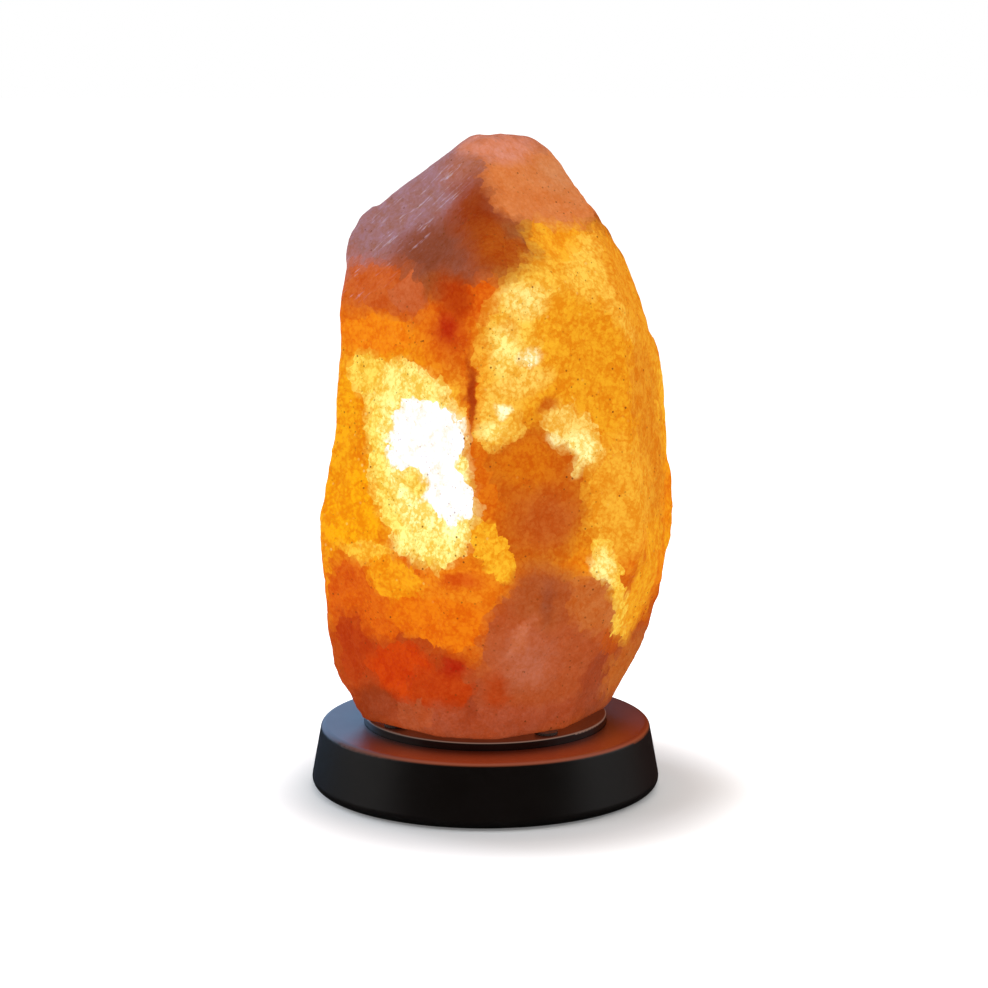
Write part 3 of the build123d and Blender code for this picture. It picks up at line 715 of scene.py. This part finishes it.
@dataclass(frozen=True)
class HewnSalt:
    """Rock salt lit from inside: ragged patches of glow, granular skin, specks and pale streaks with painted
    glints.

    Attributes:
        name: The finish.
        ragged: How far large clouds shift the patches' rims, in millimetres.
        torn: How far middling clouds shift them.
        crumbly: How far the finest clouds shift them.
        cell: Size of the grains that the sharper patches end along, in millimetres.
        cell_hold: How firmly those grains hold a patch's rim.
        shade: Share of the skin's own colour that a full glow takes away.
        top: Height at which the body colour ends, in millimetres.
        field_size: Size of the fields in which the body colour is shifted, in millimetres.
        field_lift: Height between the least and the most shifted fields, in millimetres.
        crystal: Size of the larger salt crystals, in millimetres.
        grain: Size of the sugary grains, in millimetres.
        clay: Distance between the grains of clay, in millimetres.
        pepper: Distance between the finer dark grains.
        bubble: Distance between the bubbles.
        thin: What thin salt leaves of the light's colour.
        thick: What thick salt leaves of it.
    """

    name: str = "hewn_salt"
    ragged: float = 4.0
    torn: float = 2.2
    crumbly: float = 0.6
    cell: float = 3.6
    cell_hold: float = 0.65
    shade: float = 0.85
    top: float = 250.0
    field_size: float = 34.0
    field_lift: float = 130.0
    crystal: float = 3.4
    grain: float = 1.7
    clay: float = 2.4
    pepper: float = 1.5
    bubble: float = 4.3
    thin: Colour = (1.06, 1.18, 1.50)
    thick: Colour = (0.91, 0.68, 0.34)

    def material(self) -> bpy.types.Material:
        """Builds the node material.

        Returns:
            The material.
        """
        graph = Graph(self.name)
        torn = self.torn_place(graph)
        place = self.grained_place(graph, torn)
        colour, glow = self.body_colour(graph, place)
        for patch in SALT_PATCHES:
            where = torn if patch.soft >= 0.5 else place
            cover = graph.inside(patch.middle, patch.tilt, patch.size, patch.soft, where)
            colour = graph.mix(cover, colour, patch.colour)
            glow = graph.blend(cover, glow, patch.glow)
        colour = self.striations_and_glints(graph, colour)
        colour = self.granular(graph, colour, glow)
        colour = self.specks(graph, colour, glow)
        dim = graph.number("SUBTRACT", 1.0, graph.product(glow, self.shade))
        skin = graph.mix(1.0, colour, dim, "MULTIPLY")
        shine = graph.mix(1.0, colour, glow, "MULTIPLY")
        rough = graph.spread(graph.noise(5.0, 4.0), 0.3, 0.7, 0.42, 0.62)
        return graph.finish(
            Base_Color=skin, Roughness=rough, Specular_IOR_Level=0.08, Normal=self.relief(graph),
            Emission_Color=shine, Emission_Strength=1.0,
        )

    def torn_place(self, graph: Graph) -> Socket:
        """Place shifted by clouds of three sizes, so that no patch keeps a smooth rim.

        Args:
            graph: The salt's graph.

        Returns:
            The shifted coordinates.
        """
        place = graph.place
        for size, reach in ((15.0, self.ragged), (5.0, self.torn), (1.8, self.crumbly)):
            place = graph.vector("ADD", place, graph.wander(size, reach))
        return place

    def grained_place(self, graph: Graph, torn: Socket) -> Socket:
        """Place held in part within crystal grains, so that patches end along them.

        Args:
            graph: The salt's graph.
            torn: The shifted coordinates.

        Returns:
            Coordinates that jump a little from grain to grain.
        """
        grain = graph.cells(self.cell, "Position", place=torn)
        held = graph.vector("SCALE", grain, scale=self.cell_hold)
        return graph.vector("ADD", graph.vector("SCALE", torn, scale=1 - self.cell_hold), held)

    def body_colour(self, graph: Graph, place: Socket) -> tuple[Socket, Socket]:
        """Colour and glow of the stone all round, by height, with brighter and darker fields.

        Args:
            graph: The salt's graph.
            place: The coordinates.

        Returns:
            The colour and the glow.
        """
        fields = graph.noise(self.field_size, 2.0, place)
        lift = graph.product(graph.number("SUBTRACT", fields, 0.5), self.field_lift)
        level = graph.number("DIVIDE", graph.total(graph.parts(place, "XYZ")["Z"], lift), self.top)
        colour = graph.ramp(level, (
            (0.10, TERRACOTTA),
            (0.22, DEEP_ORANGE),
            (0.34, ORANGE),
            (0.46, AMBER),
            (0.58, srgb(247, 178, 44)),
            (0.68, ORANGE),
            (0.80, BROWN),
            (0.92, srgb(190, 104, 72)),
        ))
        rise = graph.spread(level, 0.10, 0.42, 0.3, 0.9)
        fall = graph.spread(level, 0.62, 0.86, 1.0, 0.28)
        return colour, graph.product(rise, fall)

    def striations_and_glints(self, graph: Graph, colour: Socket) -> Socket:
        """Fine pale streaks that rise to the right across the upper left facet, partly marks in the salt and
        partly painted glints of light.

        Args:
            graph: The salt's graph.
            colour: The colour so far.

        Returns:
            The colour with the streaks and their painted glints.
        """
        # Painted highlight: pale streaks mixed into the colour as glints.
        facet = graph.inside((-32, -14, 212), 46, (13, 34, 34), 0.5)
        slanted = graph.turned((0.0, 0.0, 0.0), 48.0, (0.65, 4.0, 8.0))
        marks = graph.spread(graph.noise(1.0, 3.0, slanted, roughness=0.65), 0.55, 0.67)
        clusters = graph.spread(graph.noise(9.0, 2.0), 0.42, 0.62)
        return graph.mix(graph.product(marks, facet, clusters), colour, PAINTED_GLINT)

    def granular(self, graph: Graph, colour: Socket, glow: Socket) -> Socket:
        """Sugary grains: where the salt is thicker, more of the green and blue is lost.

        Args:
            graph: The salt's graph.
            colour: The colour so far.
            glow: The glow, 0 to 1.

        Returns:
            The colour with its grains.
        """
        torn = graph.vector("ADD", graph.place, graph.wander(2.5, 1.25))
        tone = graph.parts(graph.cells(self.crystal, "Color", place=torn))[0]
        large = graph.spread(tone, 0.0, 1.0, -0.26, 0.26)
        small = graph.spread(graph.noise(1.2, 3.0, roughness=0.7), 0.35, 0.65, -0.24, 0.24)
        grain = graph.spread(graph.cells(self.grain, "Distance", place=torn), 0.12, 0.72, -0.34, 0.34)
        edges = graph.cells(self.crystal, "Distance", "DISTANCE_TO_EDGE", torn)
        seam = graph.spread(edges, 0.0, 0.10, 0.30, 0.0)
        cloud = graph.spread(graph.noise(7.0, 5.0, roughness=0.7), 0.36, 0.64, -0.42, 0.42)
        thickness = graph.total(large, small, grain, seam, cloud)
        held = graph.spread(graph.parts(colour)["Blue"], 0.55, 0.92, 1.0, 0.3)
        reach = graph.product(graph.number("MAXIMUM", glow, 0.4), held)
        share = graph.total(graph.product(thickness, reach), 0.31)
        return graph.mix(1.0, colour, graph.mix(share, self.thin, self.thick), "MULTIPLY")

    def specks(self, graph: Graph, colour: Socket, glow: Socket) -> Socket:
        """Tiny dark grains of clay in loose swarms, and finer grains and pale bubbles where it glows.

        Args:
            graph: The salt's graph.
            colour: The colour so far.
            glow: The glow, 0 to 1.

        Returns:
            The colour with its specks.
        """
        swarm = graph.spread(graph.noise(12.0, 3.0), 0.42, 0.60)
        dots = graph.spread(graph.cells(self.clay, "Distance"), 0.22, 0.10)
        dark = graph.product(dots, swarm, graph.parts(graph.cells(self.clay, "Color"))[0])
        colour = graph.mix(dark, colour, CLAY)
        lit = graph.spread(glow, 0.82, 0.92)
        pepper = graph.spread(graph.cells(self.pepper, "Distance"), 0.20, 0.10, 0.0, 0.8)
        drift = graph.spread(graph.noise(6.0, 3.0), 0.44, 0.60)
        colour = graph.mix(graph.product(pepper, drift, lit), colour, OLIVE)
        bubbles = graph.spread(graph.cells(self.bubble, "Distance"), 0.16, 0.09, 0.0, 0.35)
        return graph.mix(graph.product(bubbles, lit, swarm), colour, BUBBLE)

    def relief(self, graph: Graph) -> Socket:
        """Bump of grains and pits."""
        grain = graph.bump(graph.noise(2.2, 5.0, roughness=0.65), 0.7)
        return graph.bump(graph.cells(self.crystal, "Distance", "SMOOTH_F1"), 0.35, grain)


@dataclass
class SaltStone:
    """The crystal: the CAD stone remeshed finely and given its hewn, washed surface.

    Attributes:
        voxel: Size of the even mesh, in metres.
        bore_radius: Radius of the bore for the bulb; this and the rest are in millimetres.
        bore_top: Height where the bore ends.
        foot_level: Height of the sawn foot.
        warp_size: Width of the waves that bend the plates' outlines.
        warp_reach: How far those waves bend them.
        plate_size: Width of the large split plates.
        plate_rise: How far they stand up or lie back.
        chip_size: Width of the smaller chips.
        chip_rise: How far they stand up or lie back.
        lump_size: Width of the washed lumps.
        lump_rise: How far they stand up.
        swelling: How far the whole skin stands out, because the steps take salt away.
        step_width: Width of the step between two plates, as a share of a plate.
        seed: Seed of the noise, which would follow the clock without one.
        finish: The salt's material.
    """

    voxel: float = 1.25 * MM
    bore_radius: float = 23.0
    bore_top: float = 161.4
    foot_level: float = 28.6
    warp_size: float = 17.0
    warp_reach: float = 5.0
    plate_size: float = 24.0
    plate_rise: float = 1.5
    chip_size: float = 9.5
    chip_rise: float = 0.55
    lump_size: float = 11.0
    lump_rise: float = 0.35
    swelling: float = 0.55
    step_width: float = 0.28
    seed: int = 1795553699
    finish: HewnSalt = field(default_factory=HewnSalt)

    def build(self) -> bpy.types.Object:
        """Builds the stone, dresses it and lets it ride on the crystal's body.

        Returns:
            The finished stone.
        """
        stone = self.fine_copy()
        self.hew(stone.data)
        stone.data.materials.clear()
        stone.data.materials.append(self.finish.material())
        stone.data.shade_smooth()
        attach(stone, "crystal")
        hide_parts("salt_crystal")
        return stone

    def fine_copy(self) -> bpy.types.Object:
        """Merged copy of the CAD stone in an even, fine mesh.

        Returns:
            The copy, which holds the remesh's result and no modifier.
        """
        shape = bmesh.new()
        shape.from_mesh(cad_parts["salt_crystal"].data)
        bmesh.ops.remove_doubles(shape, verts=shape.verts, dist=0.01 * MM)
        bmesh.ops.recalc_face_normals(shape, faces=shape.faces)
        mesh = bpy.data.meshes.new("hewn_stone")
        shape.to_mesh(mesh)
        shape.free()
        rough = bpy.data.objects.new("hewn_stone", mesh)
        bpy.context.scene.collection.objects.link(rough)
        remesh = rough.modifiers.new("even", "REMESH")
        remesh.mode = "VOXEL"
        remesh.voxel_size = self.voxel
        remesh.use_smooth_shade = True
        seen = rough.evaluated_get(bpy.context.evaluated_depsgraph_get())
        fine = bpy.data.meshes.new_from_object(seen)
        rough.modifiers.clear()
        rough.data = fine
        return rough

    def hew(self, mesh: bpy.types.Mesh) -> None:
        """Moves the skin in and out: split plates, chips and washed lumps.

        Args:
            mesh: The fine mesh, in metres.
        """
        noise.seed_set(self.seed)
        shifts = []
        for vertex in mesh.vertices:
            spot = vertex.co / MM
            share = self.free_share(spot)
            shifts.append(vertex.normal * (self.height(spot) * share * MM) if share > 0 else None)
        for vertex, shift in zip(mesh.vertices, shifts):
            if shift is not None:
                vertex.co += shift
                vertex.co.z = max(vertex.co.z, self.foot_level * MM)
        mesh.update()

    def free_share(self, spot: Vector) -> float:
        """1 on the outer skin, 0 in the bore and on the sawn foot.

        Args:
            spot: A place in millimetres.

        Returns:
            How freely the skin may move there.
        """
        reach = math.hypot(spot.x, spot.y)
        outside = smooth_step(self.bore_radius + 1.0, self.bore_radius + 5.0, reach)
        above = smooth_step(self.bore_top + 1.0, self.bore_top + 6.0, spot.z)
        return max(outside, above) * smooth_step(self.foot_level + 0.2, self.foot_level + 2.5, spot.z)

    def height(self, spot: Vector) -> float:
        """Height of the skin over the CAD stone at a place, in millimetres.

        Args:
            spot: The place in millimetres.

        Returns:
            The height.
        """
        warp = noise.noise_vector(spot / self.warp_size) * self.warp_reach
        plates = self.plates(spot + warp, self.plate_size) * self.plate_rise
        chips = self.plates(spot + warp * 0.6, self.chip_size) * self.chip_rise
        lumps = noise.fractal(spot / self.lump_size, 1.0, 2.1, 4) * self.lump_rise
        return plates + chips + lumps + self.swelling

    def plates(self, spot: Vector, size: float) -> float:
        """Plates raised or sunk by up to 1, with soft steps where they meet.

        Args:
            spot: The place in millimetres.
            size: Width of a plate.

        Returns:
            The height, -1 to 1.
        """
        distances, points = noise.voronoi(spot / size)
        rise = noise.cell(points[0] * 7.31)
        gap = smooth_step(0.0, self.step_width, distances[1] - distances[0])
        lean = (spot / size - points[0]).dot(noise.noise_vector(points[0] * 3.7))
        return (rise * 0.6 + lean * 0.9) * gap


# ---- sub-assemblies of CAD pieces ------------------------------------------------------------


Finish = Moulded | Metal | ClearGlass | HotWire


@dataclass
class Dressed:
    """A sub-assembly whose CAD pieces keep their shape and get their finishes.

    Attributes:
        title: The sub-assembly.
        finishes: Each finish with the nodes that get it.
    """

    title: str
    finishes: dict[Finish, list[str]]

    def dress(self) -> None:
        """Gives each node its finish."""
        for finish, nodes in self.finishes.items():
            material = finish.material()
            for node in nodes:
                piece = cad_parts[node]
                piece.data.materials.clear()
                piece.data.materials.append(material)
                log.info("%s: %s dressed in %s", self.title, node, finish.name)


def numbered(stem: str, count: int) -> list[str]:
    """Names of repeated nodes."""
    return [f"{stem}_{index}" for index in range(1, count + 1)]


ZINC = Metal("zinc_plated_steel", (0.62, 0.62, 0.60), 0.34)
BRASS = Metal("drawn_brass", (0.78, 0.56, 0.24), 0.28)
NICKEL = Metal("nickel_plated_cap", (0.72, 0.70, 0.66), 0.26)

SUB_ASSEMBLIES = (
    Dressed("base", {
        # The shell and the plate carry a painted glow and a painted rim highlight from the lit salt.
        PaintedGlowShell("satin_black_shell_painted_glow", (0.005, 0.0022, 0.0014), 0.42, 0.5, 0.01, 1.0, 1.0): ["base_body"],
        PaintedGlowShell(
            "satin_black_plate_painted_glow", (0.008, 0.003, 0.002), 0.34, 0.7, 0.006, 0.6, 0.5,
            warm=(0.05, 0.008, 0.003), rim=(0.80, 0.48, 0.36), radii=(36.0, 70.0), shares=(1.0, 0.45),
            toward=(0.75, -0.66, 0.0), reach=(-60.0, 40.0),
        ): ["seat_plate"],
        Moulded("grained_cover", (0.020, 0.020, 0.020), 0.6, 0.8, 0.06): ["bottom_cover"],
        Moulded("foam_pad", (0.014, 0.014, 0.014), 0.9, 0.5, 0.12, 0.2): ["foot_pad"],
        Moulded("grommet_rubber", (0.018, 0.018, 0.018), 0.65, 0.5, 0.03, 0.3): ["cord_grommet"],
        ZINC: ["hollow_screw", "hollow_screw_nut", "lock_washer", *numbered("cover_screw", 4), "block_screw"],
    }),
    Dressed("wiring", {
        Moulded("terminal_plastic", (0.78, 0.76, 0.70), 0.4, 0.5, 0.02): ["terminal_block"],
        BRASS: [*numbered("terminal_screw", 4), "holder_shell", "centre_contact"],
        Moulded("lead_blue", (0.03, 0.12, 0.45), 0.4, 0.4, 0.02): ["lead_left"],
        Moulded("lead_brown", (0.18, 0.07, 0.03), 0.4, 0.4, 0.02): ["lead_right"],
    }),
    Dressed("lamp holder", {
        Moulded("holder_plastic", (0.022, 0.022, 0.022), 0.3, 0.6, 0.015): ["holder_body"],
        Moulded("glazed_block", (0.76, 0.73, 0.66), 0.2, 1.2, 0.02): ["contact_block"],
    }),
    Dressed("bulb", {
        NICKEL: ["bulb_cap", "bulb_contact"],
        Moulded("black_cap_glass", (0.012, 0.012, 0.016), 0.12, 0.8, 0.01): ["cap_insulator"],
        ClearGlass("blown_glass"): ["bulb_glass", "glass_stem"],
        Metal("support_wire", (0.55, 0.53, 0.50), 0.3): ["support_wire_left", "support_wire_right"],
        HotWire("hot_filament"): ["filament"],
    }),
    Dressed("bumpers", {
        Moulded("clear_brown_bumper", (0.05, 0.035, 0.03), 0.25, 0.9, 0.02): numbered("crystal_pad", 4),
    }),
)


# ---- studio ----------------------------------------------------------------------------------


class Side(Enum):
    """Where a studio lamp stands, as azimuth from the front to the right and elevation."""

    LEFT_WINDOW = (-68.0, 28.0)
    BACK_LEFT_WINDOW = (-128.0, 20.0)
    FRONT_SOFT = (8.0, 42.0)
    RIGHT_FILL = (72.0, 30.0)
    BACK_FILL = (165.0, 48.0)


@dataclass(frozen=True)
class Lamp:
    """A soft round lamp.

    Attributes:
        side: Where it stands.
        size: Its diameter, in metres.
        power: Its power, in watts.
        colour: Its colour.
    """

    side: Side
    size: float
    power: float
    colour: Colour


@dataclass(frozen=True)
class Card:
    """Upright card that only shows as a reflection in the satin base.

    Attributes:
        name: Its name.
        middle: Its middle, in metres.
        half: Half its width and height, in metres.
        colour: Its colour.
        strength: How brightly it shows.
    """

    name: str
    middle: tuple[float, float, float]
    half: tuple[float, float]
    colour: Colour
    strength: float = 1.0


LAMPS = (
    Lamp(Side.LEFT_WINDOW, 0.5, 3.2, (0.80, 0.88, 1.0)),
    Lamp(Side.BACK_LEFT_WINDOW, 0.45, 3.2, (0.66, 0.82, 1.0)),
    Lamp(Side.FRONT_SOFT, 0.7, 3.2, (1.0, 0.98, 0.95)),
    Lamp(Side.RIGHT_FILL, 0.6, 1.6, (1.0, 0.95, 0.9)),
    Lamp(Side.BACK_FILL, 0.8, 2.6, (1.0, 1.0, 1.0)),
)

CARDS = (
    Card("blue_window", (-0.62, 0.9, 0.45), (0.60, 0.45), (0.30, 0.53, 0.86), 1.25),
    Card("warm_room", (0.74, 0.9, 0.60), (0.74, 0.60), (0.22, 0.04, 0.010)),
    Card("dark_front", (0.0, -1.6, 0.95), (3.2, 1.7), (0.008, 0.004, 0.003)),
)


@dataclass
class Studio:
    """Pale floor, soft lamps, reflection cards, world and the camera of the photograph.

    Attributes:
        camera_place: The camera's place.
        camera_pitch: Degrees that it looks down.
        lens: Its focal length, in millimetres.
        distance: Distance of the lamps from the target.
        target: What the lamps are aimed at.
        floor_glow: How much the floor shines right under the lamp, in the painted shadow there.
        shade_middle: Middle of that painted shadow, in millimetres.
        shade_radii: Where the painted shadow starts to fade and where it ends, in millimetres.
        room_light: Strength of the room's light.
        room_gloss: How much brighter, or darker below 0, the room is in reflections.
    """

    camera_place: Vector = field(default_factory=lambda: Vector((0.0032234, -0.9131986, 0.2618555)))
    camera_pitch: float = 9.4464
    lens: float = 91.28
    distance: float = 1.15
    target: Vector = field(default_factory=lambda: Vector((0.0, 0.0, 0.11)))
    floor_glow: float = 0.15
    shade_middle: tuple[float, float, float] = (9.0, -6.0, 0.0)
    shade_radii: tuple[float, float] = (62.0, 120.0)
    room_light: float = 0.28
    room_gloss: float = -0.08

    def build(self) -> None:
        """Builds floor, reflection cards, world, lamps and camera."""
        self.floor()
        for card in CARDS:
            self.card(card)
        self.world()
        for lamp in LAMPS:
            self.lamp(lamp)
        self.camera()

    def floor(self) -> None:
        """Pale floor, white to the camera except for a painted shadow round the lamp's foot, where the real
        shadow also shows, dark in reflections.
        """
        shape = bmesh.new()
        bmesh.ops.create_grid(shape, x_segments=2, y_segments=2, size=30.0)
        graph = Graph("pale_floor")
        path = graph.tree.nodes.new("ShaderNodeLightPath")
        seen = graph.number("MAXIMUM", path.outputs["Is Camera Ray"], path.outputs["Is Transmission Ray"])
        # Painted shadow: the floor's emission drops in a disc set off to the right and front of the lamp.
        reach = graph.vector("LENGTH", graph.vector("SUBTRACT", graph.place, self.shade_middle))
        white = graph.spread(reach, *self.shade_radii, self.floor_glow, 1.0)
        pale = graph.mix(path.outputs["Is Glossy Ray"], (0.8, 0.8, 0.8), (0.02, 0.02, 0.02))
        graph.finish(
            Base_Color=pale, Roughness=0.9, Specular_IOR_Level=0.0,
            Emission_Color=(1.0, 1.0, 1.0), Emission_Strength=graph.product(seen, white),
        )
        self.staged("floor", shape, graph.material)

    def card(self, card: Card) -> None:
        """Stands one reflection card up.

        Args:
            card: The card.
        """
        shape = bmesh.new()
        bmesh.ops.create_grid(shape, x_segments=1, y_segments=1, size=1.0)
        bmesh.ops.scale(shape, verts=shape.verts, vec=(*card.half, 1.0))
        bmesh.ops.rotate(shape, verts=shape.verts, matrix=Matrix.Rotation(math.radians(90), 3, "X"))
        bmesh.ops.translate(shape, verts=shape.verts, vec=card.middle)
        graph = Graph(card.name)
        cloud = graph.spread(graph.noise(300.0, 2.0), 0.3, 0.7, 0.0, 0.2)
        graph.finish(
            Base_Color=BLACK, Roughness=1.0, Specular_IOR_Level=0.0,
            Emission_Color=graph.mix(cloud, card.colour, BLACK), Emission_Strength=card.strength,
        )
        piece = self.staged(card.name, shape, graph.material)
        piece.visible_camera = False
        piece.visible_diffuse = False
        piece.visible_transmission = False
        piece.visible_shadow = False

    def staged(self, name: str, shape: bmesh.types.BMesh, material: bpy.types.Material) -> bpy.types.Object:
        """Turns a shape into an object in the scene.

        Args:
            name: Its name.
            shape: Its shape, which is used up.
            material: Its material.

        Returns:
            The object.
        """
        mesh = bpy.data.meshes.new(name)
        shape.to_mesh(mesh)
        shape.free()
        mesh.materials.append(material)
        piece = bpy.data.objects.new(name, mesh)
        bpy.context.scene.collection.objects.link(piece)
        return piece

    def world(self) -> None:
        """White backdrop for the camera and through the glass, dimmer light on the object."""
        world = bpy.data.worlds.new("studio")
        bpy.context.scene.world = world
        world.use_nodes = True
        nodes, links = world.node_tree.nodes, world.node_tree.links
        ground = nodes["Background"]
        ground.inputs["Color"].default_value = (1.0, 1.0, 1.0, 1.0)
        path = nodes.new("ShaderNodeLightPath")
        seen = nodes.new("ShaderNodeMath")
        seen.operation = "MAXIMUM"
        links.new(path.outputs["Is Camera Ray"], seen.inputs[0])
        links.new(path.outputs["Is Transmission Ray"], seen.inputs[1])
        strength = nodes.new("ShaderNodeMapRange")
        strength.inputs["To Min"].default_value = self.room_light
        strength.inputs["To Max"].default_value = 1.0
        links.new(seen.outputs[0], strength.inputs["Value"])
        gloss = nodes.new("ShaderNodeMath")
        gloss.operation = "MULTIPLY_ADD"
        gloss.inputs[1].default_value = self.room_gloss
        links.new(path.outputs["Is Glossy Ray"], gloss.inputs[0])
        links.new(strength.outputs[0], gloss.inputs[2])
        links.new(gloss.outputs[0], ground.inputs["Strength"])

    def lamp(self, lamp: Lamp) -> None:
        """Hangs one soft lamp, aimed at the stone and unseen in reflections.

        Args:
            lamp: The lamp.
        """
        name = lamp.side.name.lower()
        azimuth, lift = (math.radians(angle) for angle in lamp.side.value)
        level = math.cos(lift)
        out = Vector((math.sin(azimuth) * level, -math.cos(azimuth) * level, math.sin(lift)))
        light = bpy.data.lights.new(name, "AREA")
        light.shape = "DISK"
        light.size = lamp.size
        light.energy = lamp.power
        light.color = lamp.colour
        hung = bpy.data.objects.new(name, light)
        hung.location = self.target + out * self.distance
        hung.rotation_euler = (-out).to_track_quat("-Z", "Y").to_euler()
        hung.visible_glossy = False
        bpy.context.scene.collection.objects.link(hung)
        log.info("studio: %s at %s", name, tuple(round(part, 2) for part in hung.location))

    def camera(self) -> None:
        """Camera at the photograph's height, distance and angle."""
        view = bpy.data.cameras.new("camera")
        view.sensor_width = 36.0
        view.lens = self.lens
        camera = bpy.data.objects.new("camera", view)
        camera.location = self.camera_place
        camera.rotation_euler = (math.radians(90.0 - self.camera_pitch), 0.0, 0.0)
        bpy.context.scene.collection.objects.link(camera)
        bpy.context.scene.camera = camera


def main() -> None:
    """Builds the lamp's looks in order."""
    logging.basicConfig(level=logging.INFO, format="%(name)s: %(message)s")
    bpy.context.scene.view_settings.view_transform = "Standard"
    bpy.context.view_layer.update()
    stone = SaltStone().build()
    log.info("stone: %d faces", len(stone.data.polygons))
    for assembly in SUB_ASSEMBLIES:
        assembly.dress()
    Studio().build()


if __name__ == "__main__":
    main()
